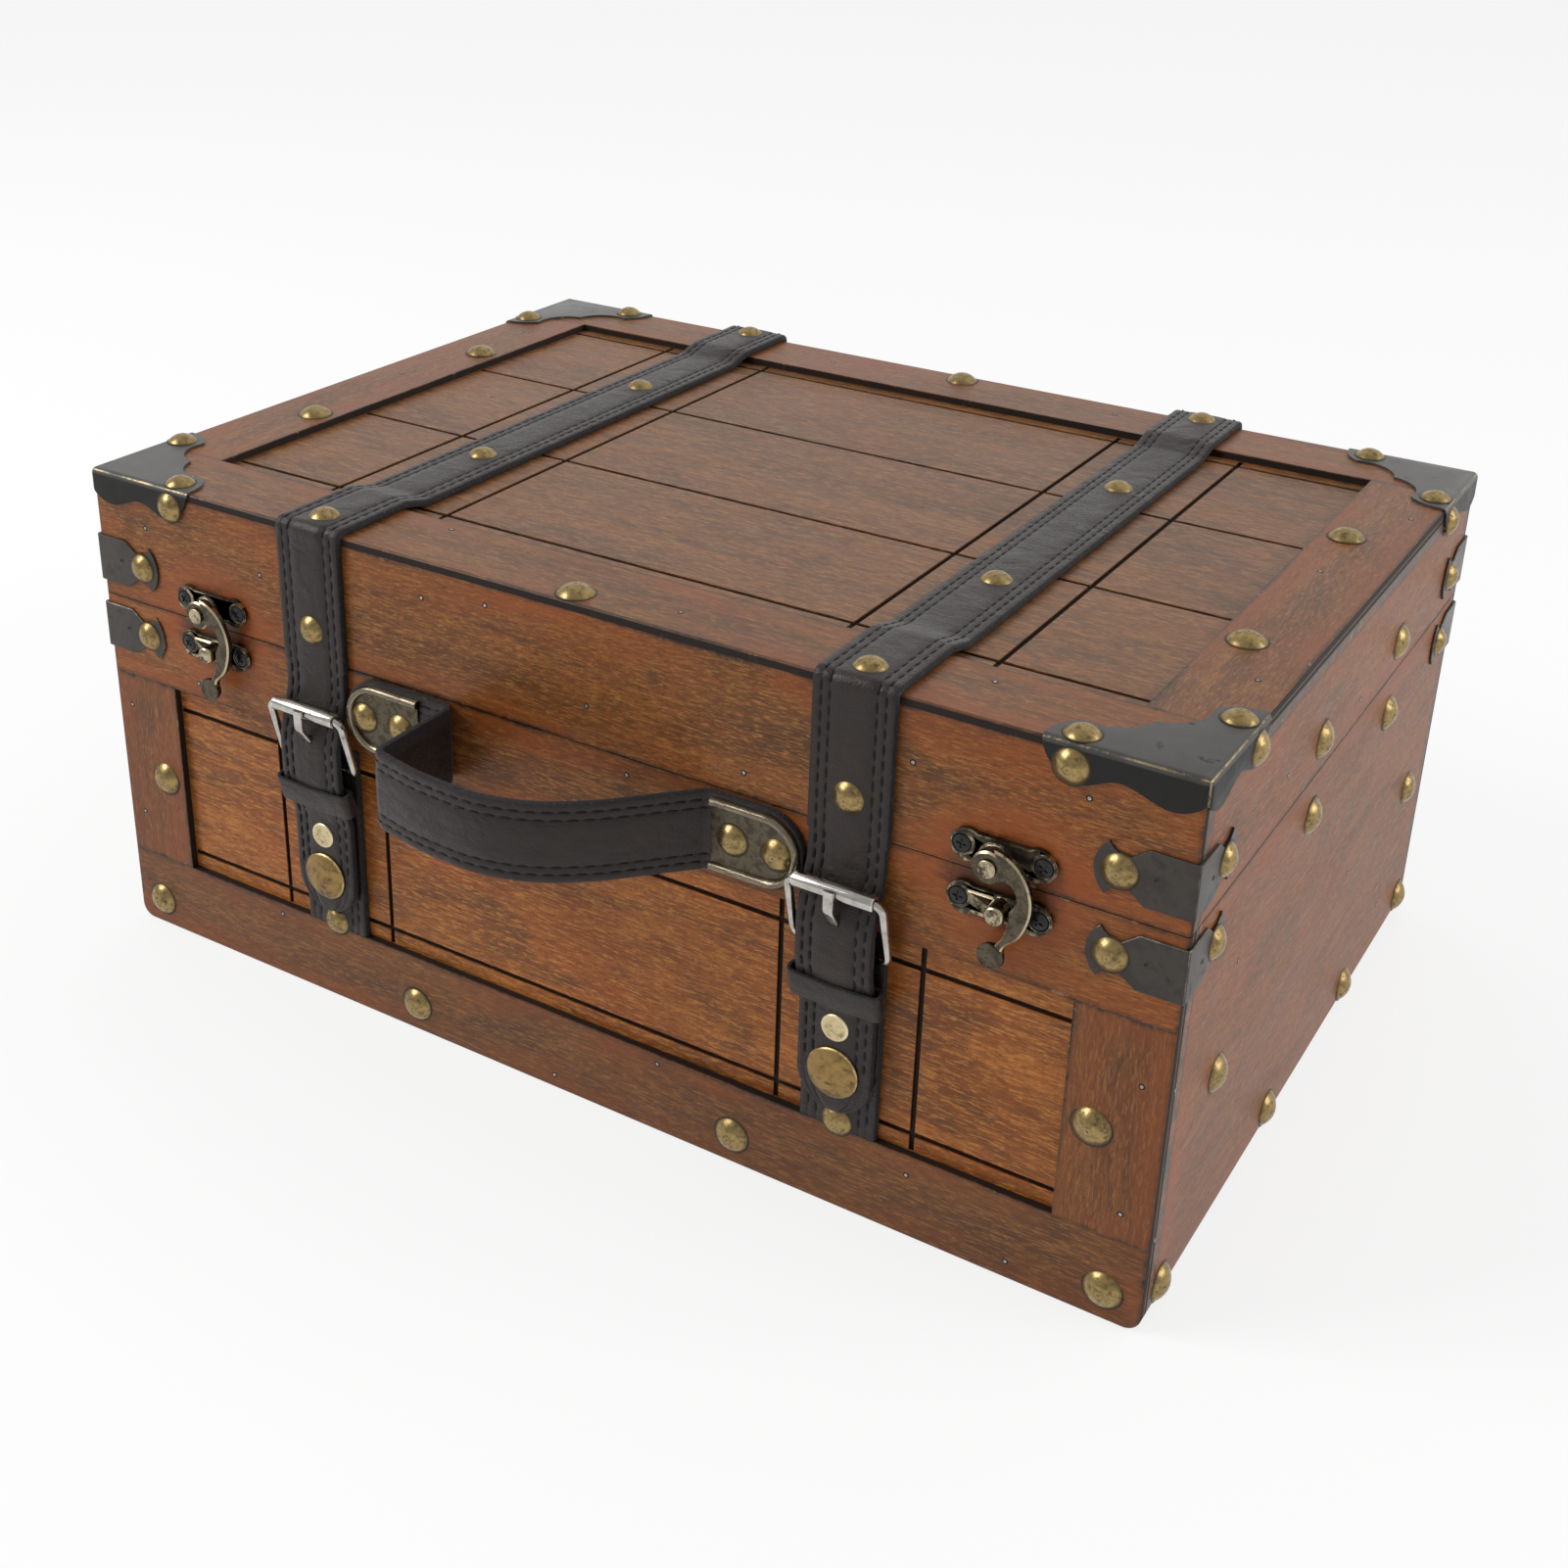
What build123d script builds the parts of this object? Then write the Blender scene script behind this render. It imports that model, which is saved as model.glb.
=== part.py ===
from build123d import *

import os
from math import asin, cos, hypot, sin

# A wooden treasure chest box, closed, built as its separate pieces.
# The origin is the centre of the underside. X runs right along the front,
# Y runs to the back and Z runs up. Lengths are in millimetres.
# "Rise" below means the distance that something stands out from the front.

# Closed case, without the hardware that stands proud of it
case_width = 380.0
case_depth = 262.0
case_height = 170.0
lid_height = 43.4
lid_gap = 0.3

# Boards
wall_thickness = 6.0
floor_thickness = 5.0
lid_panel_thickness = 5.5
overlay_thickness = 2.5
top_rail_height = 28.5
bottom_rail_height = 28.3
stile_width = 28.0
lid_front_rail_depth = 29.5
lid_back_rail_depth = 27.5
edge_round = 1.0
foot_round = 5.0

# Decorative grooves
groove_width = 1.7
groove_depth = 1.2
upper_groove_drop = 8.6
lower_groove_rise = 5.8
cross_groove_shares = (-0.62, -0.385, 0.385, 0.62)
lid_groove_shares = (-0.71, -0.23, 0.27, 0.745)

# Sheet metal corners
sheet = 0.8
protector_leg = 43.0
protector_flap = 10.4
band_leg = 26.4
band_height = 16.0
lid_band_rise = 12.9
base_band_drop = 11.2

# Domed nails
wood_stud_radius = 5.75
wood_stud_height = 3.0
trim_stud_radius = 4.9
trim_stud_height = 2.6
rail_stud_inset = 6.5
strap_foot_stud_rise = 2.4

# Straps
strap_offset_share = 0.5
strap_width = 25.0
strap_thickness = 2.6
strap_end_round = 1.2
strap_tail_rise = 3.4
strap_step_run = 7.0
strap_step_bend = 6.0
strap_foot_gap = 0.2

# Hanging tongues with their buckles
tongue_width = 24.0
tongue_thickness = 2.4
tongue_length = 88.6
tongue_end_gap = 0.3
tongue_lift = 6.6
tongue_rest = 2.5
tongue_bend = 8.0
lift_top_drop = 25.1
lift_low_drop = 38.1
settle_drop = 54.1
buckle_rod = 1.3
buckle_width = 32.0
roller_radius = 2.3
roller_length = 25.0
roller_drop = 13.6
roller_rise = 8.0
heel_drop = 34.4
heel_rise = 2.7
turn_clearance = 0.1
prong_width = 3.0
prong_thickness = 1.0
prong_hole_drop = 24.9
prong_hole_length = 7.4
keeper_height = 9.0
keeper_thickness = 1.2
keeper_clearance = 0.2
keeper_slack = 1.6
keeper_drop = 47.9
left_keeper_lift = 3.4
rivet_drop = 60.1
rivet_radius = 4.4
rivet_thickness = 0.8
snap_drop = 75.1
snap_radius = 8.25
snap_height = 2.2
snap_rim = 0.5
snap_barrel_radius = 3.0
snap_bore_radius = 2.0
snap_bore_depth = 2.8
snap_clearance = 0.2
snap_flange_radius = 5.0
snap_flange = 0.7

# Carrying handle
handle_height = 25.2
handle_drop = 0.3
handle_thickness = 2.6
handle_strap_gap = 0.5
handle_reach = 39.0
handle_fold_round = 3.6
handle_sweep_round = 16.0
handle_root_round = 5.0
plate_length = 28.7
plate_height = 23.0
plate_end_gap = 0.6
plate_rim = 2.0
plate_rim_height = 2.1
plate_rivet_shares = (0.25, 0.75)

# Swing-hook latches
latch_inset = 50.5
latch_plate_length = 29.5
latch_plate_height = 9.6
latch_plate_thickness = 1.6
latch_screw_pitch = 23.0
latch_screw_hole = 1.6
latch_screw_sink = 2.9
latch_plate_rise = 7.4
catch_plate_drop = 8.0
pivot_shift = 2.0
pivot_drop = 2.2
pivot_boss_radius = 4.3
pivot_boss_height = 2.3
pivot_pin_radius = 1.3
pivot_head_radius = 2.6
pivot_head_height = 0.9
hook_thickness = 2.0
hook_eye_radius = 4.7
hook_tail_radius = 3.5
hook_edge = 0.5
peg_side_gap = 0.6
peg_radius = 2.9
peg_height = 5.9
peg_round = 1.4
peg_drop = 13.0
peg_rib_width = 3.0

# Butt hinges behind the case
hinge_strap_gap = 10.5
hinge_length = 34.0
hinge_leaf_height = 18.0
hinge_leaf_thickness = 1.2
hinge_knuckle_radius = 2.1
hinge_pin_radius = 0.9
hinge_pin_clearance = 0.05
hinge_knuckle_gap = 0.3
hinge_pin_head = 0.6
hinge_screw_hole = 1.5
hinge_face_clearance = 0.1

# One overrun serves every through cut
overrun = 2.0

# Faces and levels that the pieces share
half_width = case_width / 2
half_depth = case_depth / 2
front_face = -half_depth
back_face = half_depth
lid_bottom = case_height - lid_height
base_top = lid_bottom - lid_gap
panel_face = front_face + overlay_thickness
panel_back = panel_face + wall_thickness
back_inside = back_face - wall_thickness
side_inside = half_width - wall_thickness
stile_inside = half_width - stile_width
top_rail_bottom = base_top - top_rail_height
panel_top = case_height - overlay_thickness
panel_underside = panel_top - lid_panel_thickness
lid_front_inside = front_face + wall_thickness
front_rail_edge = front_face + lid_front_rail_depth
back_rail_edge = back_face - lid_back_rail_depth
hinge_axis_y = back_face + hinge_knuckle_radius + hinge_face_clearance
hinge_axis_z = base_top + lid_gap / 2

# Places along the front and back, out from the middle
strap_offset = half_width * strap_offset_share
latch_offset = half_width - latch_inset
hinge_offset = strap_offset + strap_width / 2 + hinge_strap_gap + hinge_length / 2
handle_half_span = strap_offset - strap_width / 2 - handle_strap_gap
plate_outer_end = handle_half_span - plate_end_gap
plate_inner_end = plate_outer_end - plate_length

# Tongues turn about the middle of their thickness just under the lid strap
flap_axis_z = lid_bottom - tongue_end_gap - tongue_thickness / 2

# Latch pivots and handle level
pivot_level = lid_bottom + latch_plate_rise - pivot_drop
handle_level = base_top - handle_drop - handle_height / 2

os.makedirs("parts", exist_ok=True)


def write(piece, label):
    """Label one finished piece and write it under its own name."""
    piece.part.label = label
    export_step(piece.part, f"parts/{label}.step")


def front_plane(rise=0.0):
    """A plane facing the viewer of the front, with X right and Z up."""
    return Plane(origin=(0, front_face - rise, 0), x_dir=(1, 0, 0), z_dir=(0, -1, 0))


def middle(span):
    return (span[0] + span[1]) / 2


def extent(span):
    return span[1] - span[0]


def block(x_span, y_span, z_span):
    """Extrude one rectangle between three pairs of faces, in the current part."""
    with BuildSketch(Plane.XY.offset(z_span[0])) as outline:
        with Locations((middle(x_span), middle(y_span))):
            Rectangle(extent(x_span), extent(y_span))
    extrude(outline.sketch, amount=extent(z_span))


def mirrored(piece, about):
    """The same piece on the other side of a plane."""
    with BuildPart() as twin:
        mirror(piece.part, about=about)
    return twin


# Base boards


def make_floor():
    with BuildPart() as floor:
        block((-side_inside, side_inside), (panel_back, back_inside), (0, floor_thickness))
    write(floor, "base_floor")


def round_foot(part):
    """Round the two lower corners that show from the front or the back."""
    feet = part.edges().filter_by(Axis.Y).group_by(Axis.Z)[0]
    fillet(feet, foot_round)


def make_front_wall():
    """The recessed front wall, with grooves that draw its planks."""
    with BuildPart() as wall:
        block((-half_width, half_width), (panel_face, panel_back), (0, base_top))
        round_foot(wall)
        low = bottom_rail_height
        high = top_rail_bottom
        with BuildSketch(front_plane(-overlay_thickness)):
            with Locations([(share * half_width, middle((low, high))) for share in cross_groove_shares]):
                Rectangle(groove_width, high - low)
            with Locations((0, high - upper_groove_drop), (0, low + lower_groove_rise)):
                Rectangle(2 * stile_inside, groove_width)
        extrude(amount=-groove_depth, mode=Mode.SUBTRACT)
    write(wall, "base_front_wall")


def make_back_wall():
    with BuildPart() as wall:
        block((-half_width, half_width), (back_inside, back_face), (0, base_top))
        round_foot(wall)
        outline = wall.faces().sort_by(Axis.Y)[-1].edges().sort_by(Axis.Z)[:-1]
        fillet(outline, edge_round)
    write(wall, "base_back_wall")


def make_side_walls():
    with BuildPart() as wall:
        block((side_inside, half_width), (panel_back, back_inside), (0, base_top))
        foot = wall.edges().filter_by(Axis.Y).group_by(Axis.Z)[0].sort_by(Axis.X)[-1]
        fillet(foot, foot_round)
    write(wall, "base_right_wall")
    write(mirrored(wall, Plane.YZ), "base_left_wall")


def make_front_overlay():
    """Rails and stiles laid on the front wall, their shown edges eased."""
    x_span = (-half_width, half_width)
    y_span = (front_face, panel_face)
    with BuildPart() as top_rail:
        block(x_span, y_span, (top_rail_bottom, base_top))
        ends = top_rail.edges().filter_by(Axis.Z).group_by(Axis.Y)[0]
        fillet(ends, edge_round)
    write(top_rail, "base_front_top_rail")
    with BuildPart() as bottom_rail:
        block(x_span, y_span, (0, bottom_rail_height))
        round_foot(bottom_rail)
        outline = bottom_rail.faces().sort_by(Axis.Y)[0].edges().sort_by(Axis.Z)[:-1]
        fillet(outline, edge_round)
    write(bottom_rail, "base_front_bottom_rail")
    with BuildPart() as stile:
        block((stile_inside, half_width), y_span, (bottom_rail_height, top_rail_bottom))
        outer = stile.edges().filter_by(Axis.Z).group_by(Axis.Y)[0]
        fillet(outer.sort_by(Axis.X)[-1], edge_round)
    write(stile, "base_front_right_stile")
    write(mirrored(stile, Plane.YZ), "base_front_left_stile")


# Lid boards


def make_lid_walls():
    x_span = (-half_width, half_width)
    z_span = (lid_bottom, panel_top)
    with BuildPart() as front_wall:
        block(x_span, (front_face, lid_front_inside), z_span)
        ends = front_wall.edges().filter_by(Axis.Z).group_by(Axis.Y)[0]
        fillet(ends, edge_round)
    write(front_wall, "lid_front_wall")
    with BuildPart() as back_wall:
        block(x_span, (back_inside, back_face), z_span)
        ends = back_wall.edges().filter_by(Axis.Z).group_by(Axis.Y)[-1]
        fillet(ends, edge_round)
    write(back_wall, "lid_back_wall")
    with BuildPart() as side_wall:
        block((side_inside, half_width), (lid_front_inside, back_inside), (lid_bottom, panel_underside))
    write(side_wall, "lid_right_wall")
    write(mirrored(side_wall, Plane.YZ), "lid_left_wall")


def make_lid_panel():
    """The recessed top, with grooves that draw its planks."""
    with BuildPart() as panel:
        block((-half_width, half_width), (lid_front_inside, back_inside), (panel_underside, panel_top))
        with BuildSketch(Plane.XY.offset(panel_top)):
            with Locations([(0, share * half_depth) for share in lid_groove_shares]):
                Rectangle(2 * stile_inside, groove_width)
            rails = (front_rail_edge, back_rail_edge)
            with Locations([(share * half_width, middle(rails)) for share in cross_groove_shares]):
                Rectangle(groove_width, extent(rails))
        extrude(amount=-groove_depth, mode=Mode.SUBTRACT)
    write(panel, "lid_top_panel")


def make_lid_overlay():
    x_span = (-half_width, half_width)
    z_span = (panel_top, case_height)
    with BuildPart() as front_rail:
        block(x_span, (front_face, front_rail_edge), z_span)
        shown = front_rail.faces().sort_by(Axis.Z)[-1].edges().sort_by(Axis.Y)[:-1]
        ends = front_rail.edges().filter_by(Axis.Z).group_by(Axis.Y)[0]
        fillet(shown + ends, edge_round)
    write(front_rail, "lid_front_rail")
    with BuildPart() as back_rail:
        block(x_span, (back_rail_edge, back_face), z_span)
        shown = back_rail.faces().sort_by(Axis.Z)[-1].edges().sort_by(Axis.Y)[1:]
        ends = back_rail.edges().filter_by(Axis.Z).group_by(Axis.Y)[-1]
        fillet(shown + ends, edge_round)
    write(back_rail, "lid_back_rail")
    with BuildPart() as stile:
        block((stile_inside, half_width), (front_rail_edge, back_rail_edge), z_span)
        outer = stile.faces().sort_by(Axis.Z)[-1].edges().sort_by(Axis.X)[-1]
        fillet(outer, edge_round)
    write(stile, "lid_right_stile")
    write(mirrored(stile, Plane.YZ), "lid_left_stile")


# Sheet metal corners

# Places along the leg and inward, as shares of the leg
protector_tip_shares = ((1.0, 0.0), (0.98, 0.145), (0.87, 0.286))
protector_bay_shares = ((0.87, 0.286), (0.635, 0.32), (0.51, 0.51))
# Places along the leg, as shares of it, and down the face, as shares of the flap
flap_shares = ((1.0, 0.0), (0.94, 0.58), (0.77, 1.0), (0.53, 0.66), (0.26, 0.95), (0.0, 0.63))
# Places along the leg, as shares of it, and up, as shares of half the height
band_flank_shares = ((0.0, 1.0), (0.47, 1.0), (0.64, 0.57))
band_neck_shares = ((0.64, 0.57), (0.77, 0.64), (0.87, 0.95))


def scaled(shares, across, along):
    return [(first * across, second * along) for first, second in shares]


def corner_top_outline():
    """The protector's top outline, from the case's corner inward."""
    with BuildLine() as line:
        tip = scaled(protector_tip_shares, protector_leg, protector_leg)
        bay = scaled(protector_bay_shares, protector_leg, protector_leg)
        ThreePointArc(*tip)
        ThreePointArc(*bay)
        ThreePointArc(*[(v, u) for u, v in bay])
        ThreePointArc(*[(v, u) for u, v in tip])
        Polyline((0, protector_leg), (-sheet, protector_leg), (-sheet, -sheet), (protector_leg, -sheet),
                 (protector_leg, 0))
    make_face(line.edges())


def corner_flap_outline():
    """A flap's wavy outline, from the corner along the case, hanging down."""
    with BuildLine() as line:
        wave = scaled(flap_shares, protector_leg, -protector_flap)
        Spline(*wave)
        Polyline(wave[-1], (-sheet, wave[-1][1]), (-sheet, sheet), (protector_leg, sheet), wave[0])
    make_face(line.edges())


def make_protectors():
    """A three-faced plate on each top corner of the lid."""
    corner = (half_width, front_face, case_height)
    top = Plane(origin=corner, x_dir=(-1, 0, 0), z_dir=(0, 0, -1))
    front = Plane(origin=corner, x_dir=(-1, 0, 0), z_dir=(0, 1, 0))
    side = Plane(origin=corner, x_dir=(0, 1, 0), z_dir=(1, 0, 0))
    with BuildPart() as right:
        with BuildSketch(top):
            corner_top_outline()
        extrude(amount=-sheet)
        with BuildSketch(front):
            corner_flap_outline()
        extrude(amount=-sheet)
        with BuildSketch(side):
            corner_flap_outline()
        extrude(amount=sheet)
    left = mirrored(right, Plane.YZ)
    write(right, "lid_front_right_protector")
    write(left, "lid_front_left_protector")
    write(mirrored(right, Plane.XZ), "lid_back_right_protector")
    write(mirrored(left, Plane.XZ), "lid_back_left_protector")


def band_outline():
    """A band's leg: a straight flank, a neck and a crescent with two horns."""
    with BuildLine() as line:
        flank = scaled(band_flank_shares, band_leg, band_height / 2)
        neck = scaled(band_neck_shares, band_leg, band_height / 2)
        Polyline((-sheet, flank[0][1]), *flank)
        ThreePointArc(*neck)
        mirror(line.line, about=Plane.XZ)
        horn_x, horn_y = neck[-1]
        ThreePointArc((horn_x, horn_y), (band_leg, 0), (horn_x, -horn_y))
        Line((-sheet, flank[0][1]), (-sheet, -flank[0][1]))
    make_face(line.edges())


def make_bands(level, label):
    """Four bent plates round the upright corners, all at one level."""
    corner = (half_width, front_face, level)
    front = Plane(origin=corner, x_dir=(-1, 0, 0), z_dir=(0, 1, 0))
    side = Plane(origin=corner, x_dir=(0, 1, 0), z_dir=(1, 0, 0))
    with BuildPart() as bands:
        with BuildSketch(front):
            band_outline()
        extrude(amount=-sheet)
        with BuildSketch(side):
            band_outline()
        extrude(amount=sheet)
        mirror(bands.part, about=Plane.YZ)
        mirror(bands.part, about=Plane.XZ)
    write(bands, label)


# Domed nails


def cap_arc(radius, bottom, top):
    """A spherical dome's profile, from its rim up to its top on the axis."""
    height = top - bottom
    sphere = (radius**2 + height**2) / (2 * height)
    half_angle = asin(radius / sphere) / 2
    shoulder = (sphere * sin(half_angle), top - sphere * (1 - cos(half_angle)))
    ThreePointArc((radius, bottom), shoulder, (0, top))


def make_dome(radius, height):
    """A low dome standing on a flat seat, its middle on the Z axis."""
    with BuildPart() as dome:
        with BuildSketch(Plane.XZ):
            with BuildLine():
                Line((0, 0), (radius, 0))
                cap_arc(radius, 0, height)
                Line((0, height), (0, 0))
            make_face()
        revolve(axis=Axis.Z)
    return dome


def on_front(x, z, rise=0.0):
    return Plane(origin=(x, front_face - rise, z), x_dir=(1, 0, 0), z_dir=(0, -1, 0)).location


def on_back(x, z, rise=0.0):
    return Plane(origin=(x, back_face + rise, z), x_dir=(1, 0, 0), z_dir=(0, 1, 0)).location


def on_side(side, y, z, rise=0.0):
    return Plane(origin=(side * (half_width + rise), y, z), x_dir=(0, 1, 0), z_dir=(side, 0, 0)).location


def on_top(x, y, rise=0.0):
    return Plane(origin=(x, y, case_height + rise), x_dir=(1, 0, 0), z_dir=(0, 0, 1)).location


# Stud places on the sides, as shares of half the depth
side_foot_shares = (-0.9, -0.21, 0.405, 0.925)
side_middle_shares = (-0.69, 0.8)
side_seam_shares = (-0.21, 0.405)
# Stud places on the back, as shares of half the width
back_foot_shares = (-0.9, -0.33, 0.33, 0.9)
# Stud places along the lid's stiles, as shares of half the depth
stile_stud_shares = (-0.36, 0.355)
# Stud places across a stile, as a share of its width from the case's side
stile_stud_share = 0.7
# Heights, as shares of the base's height
foot_stud_share = 0.07
middle_stud_share = 0.485
seam_stud_share = 0.888
# Height in the lid, as a share of its height
lid_stud_share = 0.24
strap_stud_share = 0.25
front_foot_stud_shares = (-0.94, -0.325, 0.315, 0.94)
front_foot_level_share = 0.36
protector_stud_share = 0.81
protector_stud_inset = 5.0
protector_flap_stud_share = 0.56
band_stud_share = 0.74


def lid_wood_studs():
    """Where the large nails sit in the lid's bare wood."""
    places = [on_top(0, front_face + rail_stud_inset), on_top(0, back_face - rail_stud_inset)]
    for side in (-1, 1):
        stile_x = side * (half_width - stile_width * stile_stud_share)
        places += [on_top(stile_x, share * half_depth) for share in stile_stud_shares]
        level = lid_bottom + lid_stud_share * lid_height
        places += [on_side(side, share * half_depth, level) for share in side_seam_shares]
    return places


def base_wood_studs():
    """Where the large nails sit in the base's bare wood."""
    low = foot_stud_share * base_top
    mid = middle_stud_share * base_top
    high = seam_stud_share * base_top
    front_low = front_foot_level_share * bottom_rail_height
    places = [on_front(share * half_width, front_low) for share in front_foot_stud_shares]
    for side in (-1, 1):
        places.append(on_front(side * (half_width - stile_width * stile_stud_share), mid))
        places += [on_side(side, share * half_depth, low) for share in side_foot_shares]
        places += [on_side(side, share * half_depth, mid) for share in side_middle_shares]
        places += [on_side(side, share * half_depth, high) for share in side_seam_shares]
        places.append(on_back(side * (half_width - stile_width * stile_stud_share), mid))
    places += [on_back(share * half_width, low) for share in back_foot_shares]
    return places


def lid_trim_studs():
    """Where the smaller nails hold the straps, protectors and bands to the lid."""
    places = []
    reach = protector_stud_share * protector_leg
    flap_level = case_height - protector_flap_stud_share * protector_flap
    band_level = lid_bottom + lid_band_rise
    band_reach = band_stud_share * band_leg
    for side in (-1, 1):
        strap_x = side * strap_offset
        rail_rise = strap_thickness
        panel_rise = strap_thickness - overlay_thickness
        places.append(on_top(strap_x, front_face + rail_stud_inset, rail_rise))
        places.append(on_top(strap_x, back_face - rail_stud_inset, rail_rise))
        places += [on_top(strap_x, share * half_depth, panel_rise) for share in stile_stud_shares]
        strap_level = lid_bottom + strap_stud_share * lid_height
        places.append(on_front(strap_x, strap_level, strap_thickness))
        places.append(on_back(strap_x, strap_level, strap_thickness))
        for end in (-1, 1):
            along_x = side * (half_width - reach)
            along_y = end * (half_depth - reach)
            across_x = side * (half_width - protector_stud_inset)
            across_y = end * (half_depth - protector_stud_inset)
            places.append(on_top(along_x, across_y, sheet))
            places.append(on_top(across_x, along_y, sheet))
            places.append(on_side(side, along_y, flap_level, sheet))
            places.append(on_side(side, end * (half_depth - band_reach), band_level, sheet))
            on_face = on_front if end < 0 else on_back
            places.append(on_face(along_x, flap_level, sheet))
            places.append(on_face(side * (half_width - band_reach), band_level, sheet))
    return places


def base_trim_studs():
    """Where the smaller nails hold the bands and the strap feet to the base."""
    places = []
    band_level = base_top - base_band_drop
    band_reach = band_stud_share * band_leg
    for side in (-1, 1):
        foot_rise = strap_thickness - overlay_thickness
        places.append(on_front(side * strap_offset, bottom_rail_height + strap_foot_stud_rise, foot_rise))
        for end in (-1, 1):
            places.append(on_side(side, end * (half_depth - band_reach), band_level, sheet))
            on_face = on_front if end < 0 else on_back
            places.append(on_face(side * (half_width - band_reach), band_level, sheet))
    return places


def make_studs(label, wood_places, trim_places):
    """All the domed nails of one half of the case."""
    large = make_dome(wood_stud_radius, wood_stud_height)
    small = make_dome(trim_stud_radius, trim_stud_height)
    with BuildPart() as studs:
        with Locations(*wood_places):
            add(large.part)
        with Locations(*trim_places):
            add(small.part)
    write(studs, label)


# Straps


def make_lid_straps():
    """A strap over the lid, following its rails and its sunken panel."""
    half = strap_thickness / 2
    top = case_height + half
    sunk = panel_top + half
    inset = strap_step_bend * overlay_thickness / strap_step_run / 2 + edge_round / 5
    x = strap_offset
    points = [
        (x, back_face + half, lid_bottom + strap_tail_rise),
        (x, back_face + half, top),
        (x, back_rail_edge - inset, top),
        (x, back_rail_edge - inset - strap_step_run, sunk),
        (x, front_rail_edge + inset + strap_step_run, sunk),
        (x, front_rail_edge + inset, top),
        (x, front_face - half, top),
        (x, front_face - half, lid_bottom),
    ]
    corner = half + edge_round * 0.7
    with BuildPart() as strap:
        with BuildLine() as route:
            FilletPolyline(*points, radius=[corner] + [strap_step_bend] * 4 + [corner])
        with BuildSketch(Plane(origin=points[0], x_dir=(1, 0, 0), z_dir=(0, 0, 1))):
            Rectangle(strap_width, strap_thickness)
        sweep()
        low_edges = strap.edges().filter_by(Axis.X).group_by(Axis.Z)[0]
        fillet(low_edges.sort_by(Axis.Y)[0], strap_end_round)
    write(strap, "right_lid_strap")
    write(mirrored(strap, Plane.YZ), "left_lid_strap")


def make_base_straps():
    """The strap that lies in the front's recess under the tongue."""
    with BuildPart() as strap:
        block(
            (strap_offset - strap_width / 2, strap_offset + strap_width / 2),
            (panel_face - strap_thickness, panel_face),
            (bottom_rail_height + strap_foot_gap, top_rail_bottom - strap_foot_gap),
        )
    write(strap, "right_base_strap")
    write(mirrored(strap, Plane.YZ), "left_base_strap")


def tongue_route():
    """The tongue's middle line, as places in Y and Z from its pivot down."""
    top_rise = strap_thickness / 2
    stations = (
        (0.0, top_rise),
        (roller_drop * 0.66, top_rise * 1.2),
        (lift_top_drop, tongue_lift),
        (lift_low_drop, tongue_lift),
        (settle_drop, tongue_rest),
        (tongue_length - tongue_thickness / 2, tongue_rest),
    )
    return [(front_face - rise, flap_axis_z - drop) for drop, rise in stations]


def make_tongue(side, label):
    """The hanging strap end, raised over the buckle's heel and round at its tip."""
    x = side * strap_offset
    tip_z = flap_axis_z - tongue_length
    with BuildPart() as tongue:
        with BuildSketch(Plane.YZ.offset(x - tongue_width / 2)):
            with BuildLine():
                FilletPolyline(*tongue_route(), radius=tongue_bend)
                offset(amount=tongue_thickness / 2)
            make_face()
        extrude(amount=tongue_width)
        with BuildSketch(front_plane(-overrun)):
            with Locations((x, tip_z + tongue_width / 2)):
                Circle(tongue_width / 2)
            with Locations((x, tip_z + tongue_width / 2 + tongue_length / 2)):
                Rectangle(tongue_width, tongue_length)
        extrude(amount=overrun * 2 + tongue_lift + tongue_thickness, mode=Mode.INTERSECT)
        with BuildSketch(front_plane(-overrun)):
            with Locations((x, flap_axis_z - prong_hole_drop)):
                SlotOverall(prong_hole_length, prong_width + 2 * snap_clearance, rotation=90)
            with Locations((x, flap_axis_z - snap_drop)):
                Circle(snap_barrel_radius + snap_clearance)
        extrude(amount=overrun * 2 + tongue_lift + tongue_thickness, mode=Mode.SUBTRACT)
    write(tongue, label)


# Buckles


def buckle_plane(side):
    """The buckle frame's own plane: origin at its heel bar, Y towards its roller."""
    climb = heel_drop - roller_drop
    out = roller_rise - heel_rise
    length = hypot(climb, out)
    normal = (0, -climb / length, -out / length)
    heel = (side * strap_offset, front_face - heel_rise, flap_axis_z - heel_drop)
    return Plane(origin=heel, x_dir=(1, 0, 0), z_dir=normal), length


def make_buckle_frame(side, label):
    """A wire frame whose upper bar carries the roller and lower bar the prong."""
    plane, length = buckle_plane(side)
    reach = buckle_width / 2 - buckle_rod
    bend = reach - roller_length / 2
    with BuildPart() as frame:
        with BuildLine(plane):
            FilletPolyline((0, 0), (reach, 0), (reach, length), (0, length), radius=bend)
        with BuildSketch(Plane(origin=plane.origin, x_dir=(0, 1, 0), z_dir=(1, 0, 0))):
            Circle(buckle_rod)
        sweep()
        mirror(about=Plane.YZ.offset(side * strap_offset))
    write(frame, label)


def make_roller(side, label):
    with BuildPart() as roller:
        with BuildSketch(Plane.YZ.offset(side * strap_offset - roller_length / 2)):
            with Locations((front_face - roller_rise, flap_axis_z - roller_drop)):
                Circle(roller_radius)
                Circle(buckle_rod + turn_clearance, mode=Mode.SUBTRACT)
        extrude(amount=roller_length)
    write(roller, label)


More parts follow.
